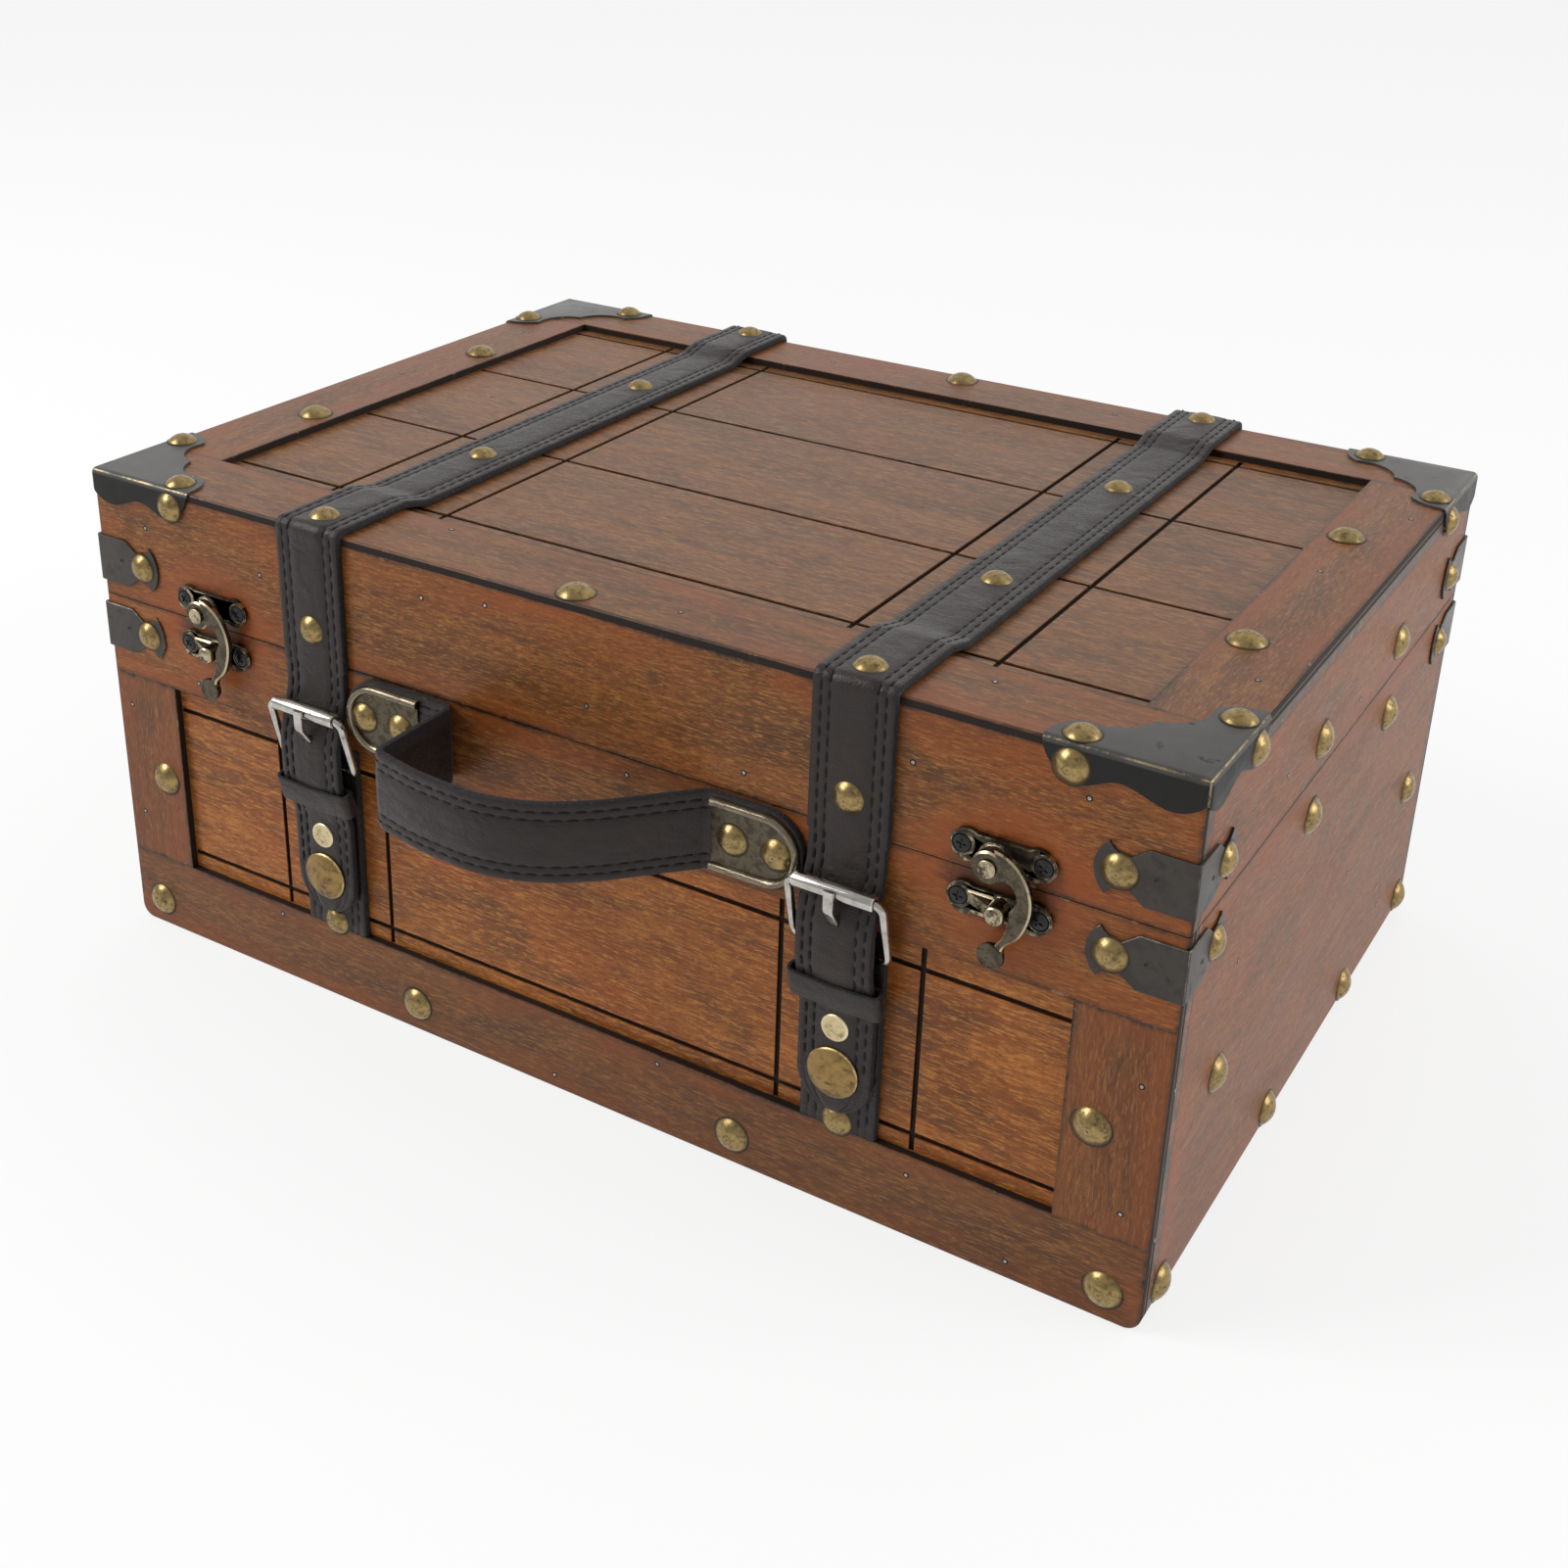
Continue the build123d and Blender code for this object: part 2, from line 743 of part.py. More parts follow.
def make_prong(side, label):
    """A strip looped round the heel bar, through the tongue and over the roller."""
    ring = buckle_rod + turn_clearance
    middle_ring = ring + prong_thickness / 2
    heel = (front_face - heel_rise, flap_axis_z - heel_drop)
    over_roller = roller_rise + roller_radius + turn_clearance + prong_thickness / 2
    points = [
        (heel[0] - middle_ring, heel[1]),
        (heel[0] - middle_ring, flap_axis_z - lift_top_drop - prong_thickness * 2.2),
        (front_face - over_roller, flap_axis_z - roller_drop - roller_radius * 2.1),
        (front_face - over_roller, flap_axis_z - roller_drop + roller_radius * 0.6),
    ]
    with BuildPart() as prong:
        with BuildSketch(Plane.YZ.offset(side * strap_offset - prong_width / 2)):
            with BuildLine():
                FilletPolyline(*points, radius=middle_ring)
                offset(amount=prong_thickness / 2)
            make_face()
            with Locations(heel):
                Circle(ring + prong_thickness)
                Circle(ring, mode=Mode.SUBTRACT)
        extrude(amount=prong_width)
    write(prong, label)


def make_keeper(side, lift, label):
    """A flat leather loop round the tongue where it slopes back to the case."""
    run = settle_drop - lift_low_drop
    fall = tongue_lift - tongue_rest
    length = hypot(run, fall)
    drop = keeper_drop - lift
    rise = tongue_rest + (settle_drop - drop) / run * fall
    centre = (side * strap_offset, front_face - rise, flap_axis_z - drop)
    plane = Plane(origin=centre, x_dir=(1, 0, 0), z_dir=(0, -fall / length, run / length))
    inner_width = tongue_width + 2 * keeper_slack
    inner_depth = tongue_thickness + 2 * keeper_clearance
    wall = 2 * keeper_thickness
    with BuildPart() as keeper:
        with BuildSketch(plane):
            RectangleRounded(inner_width + wall, inner_depth + wall, keeper_thickness * 1.4)
            RectangleRounded(inner_width, inner_depth, keeper_thickness * 0.5, mode=Mode.SUBTRACT)
        extrude(amount=keeper_height / 2, both=True)
    write(keeper, label)


def make_tongue_rivet(side, label):
    """A flat rivet head low on the tongue, just under the keeper."""
    with BuildPart() as rivet:
        with BuildSketch(front_plane(tongue_rest + tongue_thickness / 2)):
            with Locations((side * strap_offset, flap_axis_z - rivet_drop)):
                Circle(rivet_radius)
        extrude(amount=rivet_thickness)
        fillet(rivet.edges().sort_by(Axis.Y)[0], rivet_thickness / 2)
    write(rivet, label)


def make_snaps(side, cap_label, stud_label):
    """The press stud: a cap with a socket on the tongue, and a post under it."""
    x = side * strap_offset
    z = flap_axis_z - snap_drop
    face = Plane(origin=(x, front_face, z), x_dir=(1, 0, 0), z_dir=(0, 0, -1))
    turn = Axis((x, front_face, z), (0, -1, 0))
    outer = tongue_rest + tongue_thickness / 2
    inner = tongue_rest - tongue_thickness / 2
    strap_top = strap_thickness - overlay_thickness
    with BuildPart() as cap:
        with BuildSketch(face):
            with BuildLine():
                Polyline(
                    (0, outer + snap_height),
                    (0, inner + snap_bore_depth),
                    (snap_bore_radius, inner + snap_bore_depth),
                    (snap_bore_radius, inner),
                    (snap_barrel_radius, inner),
                    (snap_barrel_radius, outer),
                    (snap_radius, outer),
                    (snap_radius, outer + snap_rim),
                )
                cap_arc(snap_radius, outer + snap_rim, outer + snap_height)
            make_face()
        revolve(axis=turn)
    write(cap, cap_label)
    post_radius = snap_bore_radius - snap_clearance
    post_top = inner + snap_bore_depth - snap_clearance * 4
    with BuildPart() as stud:
        with BuildSketch(face):
            with BuildLine():
                Polyline(
                    (0, strap_top),
                    (snap_flange_radius, strap_top),
                    (snap_flange_radius, strap_top + snap_flange),
                    (post_radius, strap_top + snap_flange),
                    (post_radius, post_top),
                    (0, post_top),
                    close=True,
                )
            make_face()
        revolve(axis=turn)
    write(stud, stud_label)


# Carrying handle

# The handle's middle line between its plates: places along the front as shares
# of its half span, and out from the front as shares of its reach
handle_route_shares = (
    (-0.5, 0.9),
    (-0.29, 1.0),
    (-0.02, 1.035),
    (0.19, 0.9),
    (0.36, 0.62),
)


def make_handle():
    """A flat leather band that springs out, folds and sweeps back to its plate."""
    lie = front_face - handle_thickness / 2
    fold_x = handle_route_shares[0][0] * handle_half_span
    points = [(-handle_half_span, lie), (fold_x, lie)]
    for along, out in handle_route_shares:
        points.append((along * handle_half_span, front_face - out * handle_reach))
    points += [(plate_inner_end - handle_root_round * 0.45, lie), (handle_half_span, lie)]
    radii = [handle_fold_round] * 2 + [handle_sweep_round] * 4 + [handle_root_round]
    with BuildPart() as handle:
        with BuildSketch(Plane.XY.offset(handle_level - handle_height / 2)):
            with BuildLine():
                FilletPolyline(*points, radius=radii)
                offset(amount=handle_thickness / 2)
            make_face()
        extrude(amount=handle_height)
        with BuildSketch(front_plane()):
            with Locations((0, handle_level)):
                SlotOverall(2 * handle_half_span, handle_height)
        extrude(amount=handle_reach + handle_thickness * 3, mode=Mode.INTERSECT)
    write(handle, "handle_strap")


def d_outline(x_inner, x_outer, height):
    """A plate outline that is square at its inner end and round at its outer end."""
    radius = height / 2
    with Locations((x_outer - radius, handle_level)):
        Circle(radius)
    with Locations((middle((x_inner, x_outer - radius)), handle_level)):
        Rectangle(x_outer - radius - x_inner, height)


def make_handle_plates():
    """The stamped plate over each handle end, with a rolled rim on three sides."""
    with BuildPart() as plate:
        with BuildSketch(front_plane(handle_thickness)):
            d_outline(plate_inner_end, plate_outer_end, plate_height)
        extrude(amount=plate_rim_height)
        with BuildSketch(front_plane(handle_thickness + sheet)):
            d_outline(plate_inner_end - overrun, plate_outer_end - plate_rim, plate_height - 2 * plate_rim)
        extrude(amount=plate_rim_height, mode=Mode.SUBTRACT)
        rim_top = plate.faces().filter_by(Axis.Y).sort_by(Axis.Y)[0]
        fillet(rim_top.edges().sort_by(Axis.X)[2:], plate_rim * 0.35)
    write(plate, "right_handle_plate")
    write(mirrored(plate, Plane.YZ), "left_handle_plate")


def make_handle_rivets():
    dome = make_dome(trim_stud_radius, trim_stud_height)
    rise = handle_thickness + sheet
    places = []
    for share in plate_rivet_shares:
        x = plate_inner_end + share * plate_length
        places.append(on_front(x, handle_level, rise))
        places.append(on_front(-x, handle_level, rise))
    with BuildPart() as rivets:
        with Locations(*places):
            add(dome.part)
    write(rivets, "handle_rivets")


# Swing-hook latches

# Hook outlines from the pivot, as shares of the hook's own size
hook_size = 25.7
hook_outer_shares = (
    (0.05, 0.215), (0.24, 0.15), (0.4, -0.01), (0.475, -0.18), (0.495, -0.36),
    (0.455, -0.55), (0.36, -0.73), (0.24, -0.85), (0.225, -0.96),
)
hook_inner_shares = ((0.11, -0.125), (0.26, -0.135), (0.325, -0.25), (0.3, -0.37))
hook_shank_shares = ((0.253, -0.445), (0.25, -0.57), (0.21, -0.73), (0.1, -0.9))
hook_tail_share = 0.1


def latch_places():
    """Where the two latches sit along the front, by name."""
    return {"left": -latch_offset, "right": latch_offset}


def dog_bone(x, z):
    """A latch plate outline: two round lobes joined by a slimmer waist."""
    lobe = latch_plate_height / 2
    reach = latch_plate_length / 2 - lobe
    with Locations((x - reach, z), (x + reach, z)):
        Circle(lobe)
    with Locations((x, z)):
        Rectangle(2 * reach, latch_plate_height * 0.84)


def sink_screws(x, z, rise):
    """Countersunk screw holes at both ends of a latch plate."""
    half_pitch = latch_screw_pitch / 2
    with Locations(on_front(x - half_pitch, z, rise), on_front(x + half_pitch, z, rise)):
        CounterSinkHole(latch_screw_hole, latch_screw_sink, depth=latch_plate_thickness)


def make_latch_plate(x, label):
    """The upper plate with the raised boss and headed pin that the hook turns on."""
    z = lid_bottom + latch_plate_rise
    pin_x = x - pivot_shift
    boss_top = latch_plate_thickness + pivot_boss_height
    head_bottom = boss_top + hook_thickness + 2 * turn_clearance
    with BuildPart() as plate:
        with BuildSketch(front_plane()):
            dog_bone(x, z)
        extrude(amount=latch_plate_thickness)
        sink_screws(x, z, latch_plate_thickness)
        with BuildSketch(front_plane(latch_plate_thickness)):
            with Locations((pin_x, pivot_level)):
                Circle(pivot_boss_radius)
        extrude(amount=pivot_boss_height)
        with BuildSketch(front_plane(boss_top)):
            with Locations((pin_x, pivot_level)):
                Circle(pivot_pin_radius)
        extrude(amount=head_bottom - boss_top)
        with BuildSketch(front_plane(head_bottom)):
            with Locations((pin_x, pivot_level)):
                Circle(pivot_head_radius)
        extrude(amount=pivot_head_height)
        fillet(plate.edges().sort_by(Axis.Y)[0], pivot_head_height / 2)
    write(plate, label)


def make_hook(x, label):
    """The swinging hook: eye, curved arm with a tooth, and a thumb tail."""
    rise = latch_plate_thickness + pivot_boss_height + turn_clearance
    plane = Plane(origin=(x - pivot_shift, front_face - rise, pivot_level), x_dir=(1, 0, 0), z_dir=(0, -1, 0))
    outer = scaled(hook_outer_shares, hook_size, hook_size)
    inner = scaled(hook_inner_shares, hook_size, hook_size)
    shank = scaled(hook_shank_shares, hook_size, hook_size)
    with BuildPart() as hook:
        with BuildSketch(plane):
            with BuildLine():
                Spline(*outer)
                Line(outer[-1], shank[-1])
                Spline(*shank)
                Line(shank[0], inner[-1])
                Spline(*inner)
                Line(inner[0], outer[0])
            make_face()
            Circle(hook_eye_radius)
            with Locations((hook_tail_share * hook_size, -hook_size)):
                Circle(hook_tail_radius)
            Circle(pivot_pin_radius + turn_clearance, mode=Mode.SUBTRACT)
        extrude(amount=hook_thickness)
        rim = hook.faces().sort_by(Axis.Y)[0].outer_wire().edges()
        chamfer(rim, hook_edge)
    write(hook, label)


def make_catch(x, label):
    """The lower plate with its round-topped peg and the rib that braces it."""
    z = base_top - catch_plate_drop
    peg_x = x - pivot_shift + hook_shank_shares[0][0] * hook_size - peg_side_gap - peg_radius
    peg_z = pivot_level - peg_drop
    rib_end = x - latch_screw_pitch / 2 + latch_screw_sink
    rib_top = latch_plate_thickness + peg_height - peg_round
    with BuildPart() as catch:
        with BuildSketch(front_plane()):
            dog_bone(x, z)
        extrude(amount=latch_plate_thickness)
        sink_screws(x, z, latch_plate_thickness)
        with BuildSketch(front_plane(latch_plate_thickness)):
            with Locations((peg_x, peg_z)):
                Circle(peg_radius)
        extrude(amount=peg_height)
        fillet(catch.edges().sort_by(Axis.Y)[0], peg_round)
        side_view = Plane(origin=(0, front_face, peg_z), x_dir=(1, 0, 0), z_dir=(0, 0, -1))
        with BuildSketch(side_view):
            with BuildLine():
                Polyline(
                    (rib_end, latch_plate_thickness),
                    (peg_x, latch_plate_thickness),
                    (peg_x, rib_top),
                    close=True,
                )
            make_face()
        extrude(amount=peg_rib_width / 2, both=True)
    write(catch, label)


# Butt hinges


def knuckle_spans():
    """Three knuckles along a hinge: lid's in the middle, base's at the ends."""
    third = hinge_length / 3
    gap = hinge_knuckle_gap / 2
    half = hinge_length / 2
    return [(-half, -half + third - gap), (-half + third + gap, half - third - gap), (half - third + gap, half)]


def hinge_leaf(direction, spans):
    """One leaf with its knuckles, standing up or hanging down from the axis."""
    clear = hinge_knuckle_radius + hinge_knuckle_gap
    near = hinge_axis_z + direction * clear
    far = hinge_axis_z + direction * hinge_leaf_height
    y_span = (back_face, back_face + hinge_leaf_thickness)
    for centre in (-hinge_offset, hinge_offset):
        half = hinge_length / 2
        block((centre - half, centre + half), y_span, (min(near, far), max(near, far)))
        for span in spans:
            x_span = (centre + span[0], centre + span[1])
            block(x_span, y_span, (min(hinge_axis_z, near), max(hinge_axis_z, near)))
            with BuildSketch(Plane.YZ.offset(x_span[0])) as knuckle:
                with Locations((hinge_axis_y, hinge_axis_z)):
                    Circle(hinge_knuckle_radius)
            extrude(knuckle.sketch, amount=extent(x_span))
    with BuildSketch(Plane.YZ.offset(-half_width)) as bore:
        with Locations((hinge_axis_y, hinge_axis_z)):
            Circle(hinge_pin_radius + hinge_pin_clearance)
    extrude(bore.sketch, amount=case_width, mode=Mode.SUBTRACT)
    level = (near + far) / 2
    spots = [centre + shift for centre in (-hinge_offset, hinge_offset)
             for shift in (-hinge_length / 3, 0, hinge_length / 3)]
    with Locations(*[on_back(x, level, hinge_leaf_thickness) for x in spots]):
        Hole(hinge_screw_hole, depth=hinge_leaf_thickness)


def make_hinges():
    first, second, third = knuckle_spans()
    with BuildPart() as base_leaves:
        hinge_leaf(-1, (first, third))
    write(base_leaves, "base_hinge_leaves")
    with BuildPart() as lid_leaves:
        hinge_leaf(1, (second,))
    write(lid_leaves, "lid_hinge_leaves")
    with BuildPart() as pins:
        for centre in (-hinge_offset, hinge_offset):
            start = centre - hinge_length / 2
            with BuildSketch(Plane.YZ.offset(start)):
                with Locations((hinge_axis_y, hinge_axis_z)):
                    Circle(hinge_pin_radius)
            extrude(amount=hinge_length)
            for end, way in ((start, -1), (start + hinge_length, 1)):
                with BuildSketch(Plane.YZ.offset(end)):
                    with Locations((hinge_axis_y, hinge_axis_z)):
                        Circle(hinge_knuckle_radius * 0.8)
                extrude(amount=way * hinge_pin_head)
    write(pins, "hinge_pins")


make_floor()
make_front_wall()
make_back_wall()
make_side_walls()
make_front_overlay()
make_lid_walls()
make_lid_panel()
make_lid_overlay()
make_protectors()
make_bands(lid_bottom + lid_band_rise, "lid_corner_bands")
make_bands(base_top - base_band_drop, "base_corner_bands")
make_studs("lid_studs", lid_wood_studs(), lid_trim_studs())
make_studs("base_studs", base_wood_studs(), base_trim_studs())
make_lid_straps()
make_base_straps()
for side, name in ((-1, "left"), (1, "right")):
    make_tongue(side, f"{name}_tongue")
    make_buckle_frame(side, f"{name}_buckle_frame")
    make_roller(side, f"{name}_roller")
    make_prong(side, f"{name}_prong")
    make_keeper(side, left_keeper_lift if side < 0 else 0.0, f"{name}_keeper")
    make_tongue_rivet(side, f"{name}_tongue_rivet")
    make_snaps(side, f"{name}_snap_cap", f"{name}_snap_stud")
make_handle()
make_handle_plates()
make_handle_rivets()
for name, x in latch_places().items():
    make_latch_plate(x, f"{name}_latch_plate")
    make_hook(x, f"{name}_hook")
    make_catch(x, f"{name}_catch")
make_hinges()
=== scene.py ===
"""The wooden treasure chest box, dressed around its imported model.

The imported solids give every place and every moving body. The boards keep their
solids and get stained wood, and the leather, the sheet metal, the nails, the
buckles and the latches are modelled here in finer form. Sizes are written in
millimetres and become metres when a piece is finished.
"""

from __future__ import annotations

import logging
import math
import random
from dataclasses import dataclass, field
from enum import Enum
from typing import Iterable, Optional, Sequence, Union

import bmesh
import bpy
from mathutils import Matrix, Vector
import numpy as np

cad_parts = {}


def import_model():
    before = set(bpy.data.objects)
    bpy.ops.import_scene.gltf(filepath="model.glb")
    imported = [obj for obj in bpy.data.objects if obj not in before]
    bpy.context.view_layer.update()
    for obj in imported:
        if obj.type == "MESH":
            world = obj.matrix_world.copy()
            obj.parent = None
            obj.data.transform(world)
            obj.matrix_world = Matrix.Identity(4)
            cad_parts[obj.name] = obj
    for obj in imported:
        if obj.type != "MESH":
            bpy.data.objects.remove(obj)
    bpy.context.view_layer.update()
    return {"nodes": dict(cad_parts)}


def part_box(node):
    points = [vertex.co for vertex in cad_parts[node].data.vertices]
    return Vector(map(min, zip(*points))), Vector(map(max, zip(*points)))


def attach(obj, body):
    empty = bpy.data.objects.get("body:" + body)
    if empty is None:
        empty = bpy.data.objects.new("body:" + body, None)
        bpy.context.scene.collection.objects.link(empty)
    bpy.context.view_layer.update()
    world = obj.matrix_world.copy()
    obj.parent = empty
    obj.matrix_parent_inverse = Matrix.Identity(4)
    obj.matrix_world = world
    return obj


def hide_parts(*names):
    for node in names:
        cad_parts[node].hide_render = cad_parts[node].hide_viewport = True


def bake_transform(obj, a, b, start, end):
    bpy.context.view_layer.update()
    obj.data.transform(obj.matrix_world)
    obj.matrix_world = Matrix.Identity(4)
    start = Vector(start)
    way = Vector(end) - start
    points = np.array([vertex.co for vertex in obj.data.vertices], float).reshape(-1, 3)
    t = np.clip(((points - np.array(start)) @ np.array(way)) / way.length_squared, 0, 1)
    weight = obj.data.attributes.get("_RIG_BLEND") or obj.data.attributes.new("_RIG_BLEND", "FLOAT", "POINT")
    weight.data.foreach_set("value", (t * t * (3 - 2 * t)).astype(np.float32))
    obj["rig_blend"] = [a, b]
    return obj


LOG = logging.getLogger("treasure_chest")

MM = 0.001

Color = tuple[float, float, float]
Socket = bpy.types.NodeSocket
Value = Union[Socket, float]
Pair = tuple[float, float]
Triple = tuple[float, float, float]
Corners = tuple[Vector, Vector]


# Places on the case that several pieces share, in millimetres

CASE_WIDTH = 380.0
CASE_DEPTH = 262.0
CASE_HEIGHT = 170.0
HALF_WIDTH = CASE_WIDTH / 2
HALF_DEPTH = CASE_DEPTH / 2
FRONT = -HALF_DEPTH
BACK = HALF_DEPTH
LID_BOTTOM = 126.6
BASE_TOP = 126.3
LID_HEIGHT = CASE_HEIGHT - LID_BOTTOM
OVERLAY = 2.5
PANEL_FRONT = FRONT + OVERLAY
PANEL_TOP = CASE_HEIGHT - OVERLAY
BOTTOM_RAIL = 28.3
TOP_RAIL = 28.5
TOP_RAIL_BOTTOM = BASE_TOP - TOP_RAIL
STILE = 28.0
FRONT_RAIL_EDGE = FRONT + 29.5
BACK_RAIL_EDGE = BACK - 27.5
SHEET = 0.8
STRAP_X = 95.0
STRAP_THICK = 2.6
FLAP_Z = 125.1
HANDLE_THICK = 2.6
HANDLE_LEVEL = 113.4
LID_BAND = LID_BOTTOM + 12.9
BASE_BAND = BASE_TOP - 11.2
ALONG_X = Vector((1, 0, 0))
ALONG_Y = Vector((0, 1, 0))
ALONG_Z = Vector((0, 0, 1))


class Side(Enum):
    """The left or right twin of a piece."""

    LEFT = -1
    RIGHT = 1

    @property
    def word(self) -> str:
        """The side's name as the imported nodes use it."""
        return self.name.lower()


class Axis(Enum):
    """An axis that a board's grain runs along or its shown face looks along."""

    X = 0
    Y = 1
    Z = 2


# Node trees


class Tree:
    """A node tree, with the helpers that every finish and the studio share."""

    def __init__(self, owner: object) -> None:
        """Empty the owner's node tree.

        Args:
            owner: The material or world that the tree belongs to.
        """
        owner.use_nodes = True
        self.nodes = owner.node_tree.nodes
        self.links = owner.node_tree.links
        self.nodes.clear()

    def feed(self, socket: Socket, value: object) -> None:
        """Link a socket to another, or set its value.

        Args:
            socket: The input to feed.
            value: An output socket, a number, a colour or a vector.
        """
        if isinstance(value, bpy.types.NodeSocket):
            self.links.new(value, socket)
        elif isinstance(value, (int, float)):
            socket.default_value = value
        elif socket.type == "RGBA":
            socket.default_value = (*value, 1.0)
        else:
            socket.default_value = value

    def add(self, kind: str, inputs: dict[Union[str, int], object]) -> bpy.types.Node:
        """Add a node.

        Args:
            kind: The node's type.
            inputs: What its inputs are fed with, by name or number.

        Returns:
            The node.
        """
        node = self.nodes.new(kind)
        for key, value in inputs.items():
            self.feed(node.inputs[key], value)
        return node

    def math(self, operation: str, first: Value, second: Value = 0.0, clamp: bool = False) -> Socket:
        """One math node.

        Args:
            operation: The math node's operation.
            first: Its first value.
            second: Its second value.
            clamp: Whether the result is held between 0 and 1.

        Returns:
            The result's socket.
        """
        node = self.add("ShaderNodeMath", {0: first, 1: second})
        node.operation = operation
        node.use_clamp = clamp
        return node.outputs[0]

    def times(self, first: Value, second: Value) -> Socket:
        """The product of two values."""
        return self.math("MULTIPLY", first, second)

    def plus(self, first: Value, *others: Value) -> Socket:
        """The sum of a value and one or more others."""
        for other in others:
            first = self.math("ADD", first, other)
        return first

    def minus(self, first: Value, second: Value) -> Socket:
        """The first value less the second."""
        return self.math("SUBTRACT", first, second)

    def around(self, pattern: Socket, width: float) -> Socket:
        """A pattern's swing about its middle, made as wide as asked."""
        return self.times(self.minus(pattern, 0.5), width)

    def remap(self, value: Value, low: float, high: float, start: float = 0.0, end: float = 1.0) -> Socket:
        """A clamped, smooth remap of a value's range.

        Args:
            value: The value to remap.
            low: The value that gives start.
            high: The value that gives end.
            start: The result at low.
            end: The result at high.

        Returns:
            The result's socket.
        """
        limits = {"From Min": low, "From Max": high, "To Min": start, "To Max": end}
        node = self.add("ShaderNodeMapRange", {"Value": value, **limits})
        node.interpolation_type = "SMOOTHSTEP"
        return node.outputs["Result"]

    def mixed(self, output: str, share: Socket, first: Socket, second: Socket) -> None:
        """End the tree in a mix of two shaders.

        Args:
            output: The output node's type.
            share: How much of the second shader.
            first: The first shader.
            second: The second shader.
        """
        node = self.add("ShaderNodeMixShader", {0: share, 1: first, 2: second})
        self.add(output, {"Surface": node.outputs["Shader"]})


class Graph(Tree):
    """The nodes of one material, wired to a principled shader."""

    def __init__(self, name: str) -> None:
        """Start an empty material.

        Args:
            name: The material's name.
        """
        self.material = bpy.data.materials.new(name)
        super().__init__(self.material)
        self.shader = self.nodes.new("ShaderNodeBsdfPrincipled")
        self.add("ShaderNodeOutputMaterial", {"Surface": self.shader.outputs["BSDF"]})
        self.position = self.nodes.new("ShaderNodeTexCoord").outputs["Object"]

    def stretched(self, scale: Sequence[float], shift: Sequence[float]) -> Socket:
        """Object coordinates, scaled and shifted.

        Args:
            scale: Repeats per metre along each axis.
            shift: The shift along each axis, after scaling.

        Returns:
            The mapped vector's socket.
        """
        inputs = {"Vector": self.position, "Scale": scale, "Location": shift}
        return self.add("ShaderNodeMapping", inputs).outputs["Vector"]

    def noise(
        self,
        scale: Union[float, Sequence[float]],
        detail: float = 2.0,
        roughness: float = 0.5,
        distortion: float = 0.0,
        seed: float = 0.0,
    ) -> Socket:
        """Noise on object coordinates.

        Args:
            scale: Repeats per metre, one for all axes or one for each.
            detail: The noise's octaves.
            roughness: How strong the finer octaves are.
            distortion: How much the noise is warped.
            seed: A shift that makes this noise its own.

        Returns:
            The noise's value socket.
        """
        repeats = (scale,) * 3 if isinstance(scale, (int, float)) else scale
        vector = self.stretched(repeats, (seed, seed * 1.7, seed * 2.3))
        levels = {"Detail": detail, "Roughness": roughness, "Distortion": distortion}
        return self.add("ShaderNodeTexNoise", {"Vector": vector, "Scale": 1.0, **levels}).outputs["Fac"]

    def cells(self, scale: float, seed: float = 0.0) -> Socket:
        """How far each place is from the nearest point of a cell pattern.

        Args:
            scale: Cells per metre.
            seed: A shift that makes this pattern its own.

        Returns:
            The distance's socket.
        """
        vector = self.stretched((scale,) * 3, (seed,) * 3)
        return self.add("ShaderNodeTexVoronoi", {"Vector": vector, "Scale": 1.0}).outputs["Distance"]

    def mix(self, factor: Value, first: object, second: object) -> Socket:
        """A mix of two colours.

        Args:
            factor: How much of the second colour.
            first: The first colour or socket.
            second: The second colour or socket.

        Returns:
            The mixed colour's socket.
        """
        node = self.nodes.new("ShaderNodeMix")
        node.data_type = "RGBA"
        for key, value in ((0, factor), (6, first), (7, second)):
            self.feed(node.inputs[key], value)
        return node.outputs[2]

    def attribute(self, name: str) -> Socket:
        """A number stored on the mesh's own points.

        Args:
            name: The number's name.

        Returns:
            The number's socket.
        """
        node = self.nodes.new("ShaderNodeAttribute")
        node.attribute_name = name
        return node.outputs["Fac"]

    def coordinate(self, axis: Axis) -> Socket:
        """One object coordinate, in metres."""
        return self.add("ShaderNodeSeparateXYZ", {"Vector": self.position}).outputs[axis.value]

    def bump(self, height: Value, distance: float, strength: float = 1.0) -> None:
        """Feed the shader's normal from a height.

        Args:
            height: The height's socket.
            distance: What a height of 1 stands for, in metres.
            strength: How strongly the bump is felt.
        """
        inputs = {"Distance": distance, "Strength": strength, "Height": height}
        self.feed(self.shader.inputs["Normal"], self.add("ShaderNodeBump", inputs).outputs["Normal"])

    def surface(
        self,
        color: object,
        roughness: Value,
        metallic: Value = 0.0,
        gloss: float = 0.5,
        nap: float = 0.0,
        nap_roughness: float = 0.5,
    ) -> None:
        """Feed the shader's main sockets.

        Args:
            color: The base colour or its socket.
            roughness: The roughness or its socket.
            metallic: The metallic value or its socket.
            gloss: How strongly the surface mirrors, 0.5 being plain.
            nap: How much soft sheen it has.
            nap_roughness: How rough that sheen is.
        """
        plain = {"Specular IOR Level": gloss, "Sheen Weight": nap, "Sheen Roughness": nap_roughness}
        inputs = {"Base Color": color, "Roughness": roughness, "Metallic": metallic, **plain}
        for socket, value in inputs.items():
            self.feed(self.shader.inputs[socket], value)


# Finishes


@dataclass(frozen=True)
class Stain:
    """An oval on both halves of a front board round each latch: a reddish stain, and closer in a darkening
    that is partly soot and partly painted shadow of the plates.
    """

    across: float = 139.5
    level: float = 126.0
    reach_across: float = 20.0
    reach_up: float = 17.0


